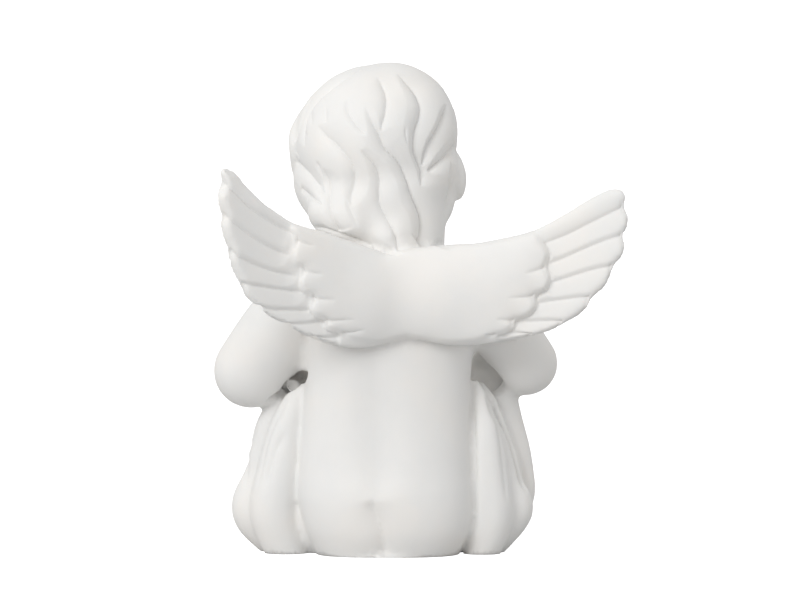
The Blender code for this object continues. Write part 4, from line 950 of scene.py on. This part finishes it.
def carveHair(carver):
    for path, depth, plusWidth, minusWidth, fade in hairLines:
        carver.grooveBehind(path, depth, plusWidth, minusWidth, fade=fade)
    for k, azimuth in enumerate(crown["azimuths"]):
        low = crown["ends"]["face" if abs(azimuth) < crown["faceWidth"] else "side"]
        high = crown["starts"][k % 3]
        wave = crown["waves"][k % 2]
        path = [
            carver.aroundHead(azimuth + wave * math.sin(2 * math.pi * u), high + (low - high) * u)
            for u in np.linspace(0, 1, 30)
        ]
        carver.groove(path, 0.9, 1.3, 0.7, fade=(0.45, 0.2))


# Grooves between the feathers: depth, and the widths above and below.
feathers = {
    "long": (0.8, 0.8, 3.0),
    "short": (0.6, 0.5, 1.2),
    "rim": (0.6, 0.5, 0.5),
    "upper": (1.0, 1.2, 0.35),
    "lower": (0.7, 0.35, 0.8),
}


def carveWings(carver):
    seen = seenFrom(carver.points)
    for wing in (wings["left"], wings["right"]):
        within = np.full(len(seen), -9.0)
        near = np.nonzero(carver.points[:, 2] > 40)[0]  # no wing reaches lower
        within[near] = outlineDistance(seen[near], smoothPath(wing["rim"], 160))
        onLong, onShort = np.clip(-within / 0.3, 0, 1), np.clip(within / 0.4, 0, 1)
        for line in wing["lines"]:
            carver.grooveBehind(line, *feathers["long"], fade=(0.02, 0.16), plus=up, sharp=1.0, where=onLong)
        for line in wing["shortLines"]:
            carver.grooveBehind(line, *feathers["short"], fade=(0.02, 0.9), plus=up, sharp=1.0, where=onShort)
        if "rimLine" in wing:
            carver.grooveBehind(wing["rimLine"], *feathers["rim"], slit=0.5)
        carver.grooveBehind(wing["upper"], *feathers["upper"], fade=(0.1, 0.2), plus=up)
        carver.grooveBehind(wing["lower"], *feathers["lower"], fade=(0.1, 0.1), plus=up)


# Lines of the back, the right hip and the arms: path, depth, both widths, fade, sharp and slit.
bodyLines = [
    ([(3.6, 11.0), (3.1, 8.6), (1.6, 5.0), (1.0, 2.0), (0.8, -1)], 1.6, 2.7, 2.0, (0.5, 0.01), 1.15, 0.08),
    ([(2.6, 43), (2.3, 30), (1.5, 18), (2.6, 10)], 0.9, 4.5, 4.5, (0.4, 0.5), 2, 0),
    ([(-17.2, 40), (-17.3, 30), (-17.7, 20), (-17.7, 10), (-17.2, 2)], 0.7, 0.7, 0.6, (0.2, 0.4), 1.15, 0.05),
    ([(-19.8, 32.6), (-21.4, 29), (-22.9, 25.2), (-23.8, 17.0), (-24.2, 9.5)],
     0.8, 1.3, 1.3, (0.3, 0.5), 1.15, 0.05),
    ([(-21.4, 31.4), (-23.0, 28.8), (-25.4, 23.7), (-27.0, 18.1), (-28.2, 12.6)],
     2.2, 1.2, 1.0, (0.3, 0.15), 1.15, 0.05),
    ([(16.4, 36.8), (18.6, 34.9), (21.5, 32.9), (25.0, 31.0)], 2.6, 0.9, 0.9, (0.2, 0.5), 2, 0),
    ([(-18.0, 40.8), (-18.8, 38.0), (-20.6, 35.4), (-23.8, 33.0)], 4.2, 2.2, 2.2, (0.25, 0.4), 2, 0),
]


def carveBody(carver):
    for path, depth, plusWidth, minusWidth, fade, sharp, slit in bodyLines:
        carver.grooveBehind(path, depth, plusWidth, minusWidth, fade=fade, sharp=sharp, slit=slit)


clothLines = {
    "laps": ((25, 6), (18, 8), (11, 6)),  # height at the knees, and sag between them
    "lapHalf": 12,
    "front": ((10, 8.5), (15.5, 17), (19, 23)),  # how far out at the top and at the foot
    "side": ((-10, -7.5), (-15, -15), (-19, -23)),  # how far back at the top and at the foot
    "hip": (
        [(20.4, 32.1), (24.6, 23.4), (26.7, 13.0)],
        [(20.8, 25.0), (23.6, 19.4), (25.3, 13.2)],
        [(26.7, 27.2), (28.6, 20.4), (29.2, 13.0)],
    ),
}


def carveCloth(carver):
    half = clothLines["lapHalf"]
    for z, sag in clothLines["laps"]:
        path = [carver.ahead(x, z - sag * (1 - (x / half) ** 2)) for x in np.linspace(-half, half, 25)]
        carver.groove(path, 1.3, 2.0, 1.2, fade=(0.3, 0.3), plus=up)
    share = np.linspace(0, 1, 20)
    for side in (1, -1):
        for top, foot in clothLines["front"]:
            path = [carver.ahead(side * (top + (foot - top) * t), 24 - 23 * t) for t in share]
            carver.groove(path, 1.2, 1.8, 1.2, fade=(0.4, 0.1))
        for top, foot in clothLines["side"]:
            path = [carver.beside(side, top + (foot - top) * t, 27 - 26 * t) for t in share]
            carver.groove(path, 1.2, 1.8, 1.2, fade=(0.35, 0.05), plus=(0, 1, 0))
    for path in clothLines["hip"]:
        carver.grooveBehind(path, 0.5, 1.2, 0.9, fade=(0.3, 0.3))


eyeAcross = 5.4


def carveFace(carver):
    lips = [carver.onFace(x, -8.7 + 0.036 * x * x) for x in np.linspace(-3.2, 3.2, 15)]
    carver.groove(lips, 0.6, 0.45, 0.45, plus=up)
    for side in (1, -1):
        lash = [carver.onFace(side * (eyeAcross + x), -1.5 + 0.1 * x * x) for x in np.linspace(-2.9, 2.9, 15)]
        carver.groove(lash, 0.5, 0.4, 0.4, plus=up)
        lid = [carver.onFace(side * (eyeAcross + x), 2.0 - 0.1 * x * x) for x in np.linspace(-3.2, 3.2, 15)]
        carver.groove(lid, 0.5, 0.8, 0.6, plus=up)


# Cuts the figure off at the floor and closes it there with a flat face.
def standFlat(mesh):
    clay = bmesh.new()
    clay.from_mesh(mesh)
    everything = clay.verts[:] + clay.edges[:] + clay.faces[:]
    plane = {"plane_co": (0, 0, 0), "plane_no": up}
    bmesh.ops.bisect_plane(clay, geom=everything, dist=1e-4, clear_inner=True, **plane)
    bmesh.ops.edgeloop_fill(clay, edges=[edge for edge in clay.edges if edge.is_boundary])
    bmesh.ops.triangulate(clay, faces=clay.faces[:])
    clay.to_mesh(mesh)
    clay.free()


# A copy with finer faces above a height, where the hair and the feathers are cut.
def splitAbove(mesh, height):
    clay = bmesh.new()
    clay.from_mesh(mesh)
    edges = [edge for edge in clay.edges if edge.verts[0].co.z + edge.verts[1].co.z > 2 * height]
    bmesh.ops.subdivide_edges(clay, edges=edges, cuts=1, use_grid_fill=True)
    fine = bpy.data.meshes.new("fine")
    clay.to_mesh(fine)
    clay.free()

    def soften(made):
        smooth = made.modifiers.new("soften", "SMOOTH")
        smooth.iterations = 2
    return finished(fine, soften)


def makeAngel():
    parts = [makeTrunk(), *makeCloth(), makeHands(), makeFeet()]
    say("trunk, cloth, hands and feet")
    parts += makeHead()
    say("head")
    parts += makeWings()
    say("wings")
    coarse = fused("angel", parts, *figure["fuse"])
    keepOuter(coarse)
    easeCushions(coarse)
    mesh = splitAbove(coarse, figure["fineAbove"])
    say(f"fused, {len(mesh.vertices)} vertices")
    carver = Carver(coarse, mesh)
    for carve in (carveHair, carveWings, carveBody, carveCloth, carveFace):
        carve(carver)
    carver.finish()
    say("carved")
    standFlat(mesh)

    def thin(made):
        modifier = made.modifiers.new("thin", "DECIMATE")
        modifier.ratio = min(1, figure["triangles"] / len(mesh.polygons))

    mesh = finished(mesh, thin)
    mesh.transform(Matrix.Scale(figure["height"] / 100, 4))
    mesh.materials.clear()
    mesh.materials.append(bisque)
    mesh.shade_smooth()
    say(f"angel, {len(mesh.polygons)} triangles")
    angel = bpy.data.objects.new("angelFigure", mesh)
    bpy.context.scene.collection.objects.link(angel)
    return angel


angel = makeAngel()
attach(angel, "root")
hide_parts("seated_angel")


# Stage: a flat floor and a world that look white, soft light from the upper left of the camera

stage = {
    "floorWidth": 120.0,
    "paper": (0.55, 0.55, 0.55, 1),
    "glow": 1.0,  # for the camera alone
    "world": 0.76,
    "keyPlace": (0.54, 0.81, 0.54),
    "keyAim": (0, 0, 0.05),
    "keySize": 0.50,
    "keyPower": 4.6,
}


def makeFloor():
    paper = bpy.data.materials.new("paleFloor")
    paper.use_nodes = True
    shader = paper.node_tree.nodes["Principled BSDF"]
    shader.inputs["Base Color"].default_value = stage["paper"]
    shader.inputs["Roughness"].default_value = 0.9
    shader.inputs["Emission Color"].default_value = (1, 1, 1, 1)
    nodes, link = paper.node_tree.nodes, paper.node_tree.links.new
    ray, glow = nodes.new("ShaderNodeLightPath"), nodes.new("ShaderNodeMath")
    glow.operation = "MULTIPLY"
    glow.inputs[1].default_value = stage["glow"]
    link(ray.outputs["Is Camera Ray"], glow.inputs[0])
    link(glow.outputs["Value"], shader.inputs["Emission Strength"])
    half = stage["floorWidth"] / 2
    mesh = bpy.data.meshes.new("floor")
    corners = [(-half, -half, 0), (half, -half, 0), (half, half, 0), (-half, half, 0)]
    mesh.from_pydata(corners, [], [(0, 1, 2, 3)])
    mesh.materials.append(paper)
    floor = bpy.data.objects.new("floor", mesh)
    bpy.context.scene.collection.objects.link(floor)


def aim(item, target):
    item.rotation_mode = "QUATERNION"
    item.rotation_quaternion = (Vector(target) - item.location).to_track_quat("-Z", "Y")


def makeLights():
    world = bpy.data.worlds.new("studio")
    bpy.context.scene.world = world
    world.use_nodes = True
    nodes, link = world.node_tree.nodes, world.node_tree.links.new
    fill = nodes["Background"]  # the paper behind shows white, and lights the figure less
    fill.inputs["Strength"].default_value = stage["world"]
    behind, mix = nodes.new("ShaderNodeBackground"), nodes.new("ShaderNodeMixShader")
    ray = nodes.new("ShaderNodeLightPath")
    for background in (fill, behind):
        background.inputs["Color"].default_value = (1, 1, 1, 1)
    link(ray.outputs["Is Camera Ray"], mix.inputs["Fac"])
    link(fill.outputs["Background"], mix.inputs[1])
    link(behind.outputs["Background"], mix.inputs[2])
    link(mix.outputs["Shader"], nodes["World Output"].inputs["Surface"])
    key = bpy.data.lights.new("key", "AREA")
    key.energy = stage["keyPower"]
    key.size = stage["keySize"]
    lamp = bpy.data.objects.new("key", key)
    bpy.context.scene.collection.objects.link(lamp)
    lamp.location = stage["keyPlace"]
    aim(lamp, stage["keyAim"])


def makeCamera():
    metres = figure["height"] / 100
    centre = Vector((eye["side"] * metres, 0, eye["level"] * metres))
    rise = math.radians(eye["rise"])
    camera = bpy.data.objects.new("camera", bpy.data.cameras.new("camera"))
    bpy.context.scene.collection.objects.link(camera)
    distance = eye["distance"] * metres
    camera.location = centre + Vector((0, math.cos(rise), math.sin(rise))) * distance
    aim(camera, centre)
    camera.data.sensor_width = eye["sensor"]
    camera.data.lens = eye["sensor"] * distance / (eye["pixelsAcross"] * eye["pixel"])
    bpy.context.scene.camera = camera


makeFloor()
makeLights()
makeCamera()
bpy.context.scene.view_settings.view_transform = "Standard"

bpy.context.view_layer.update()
say("done")
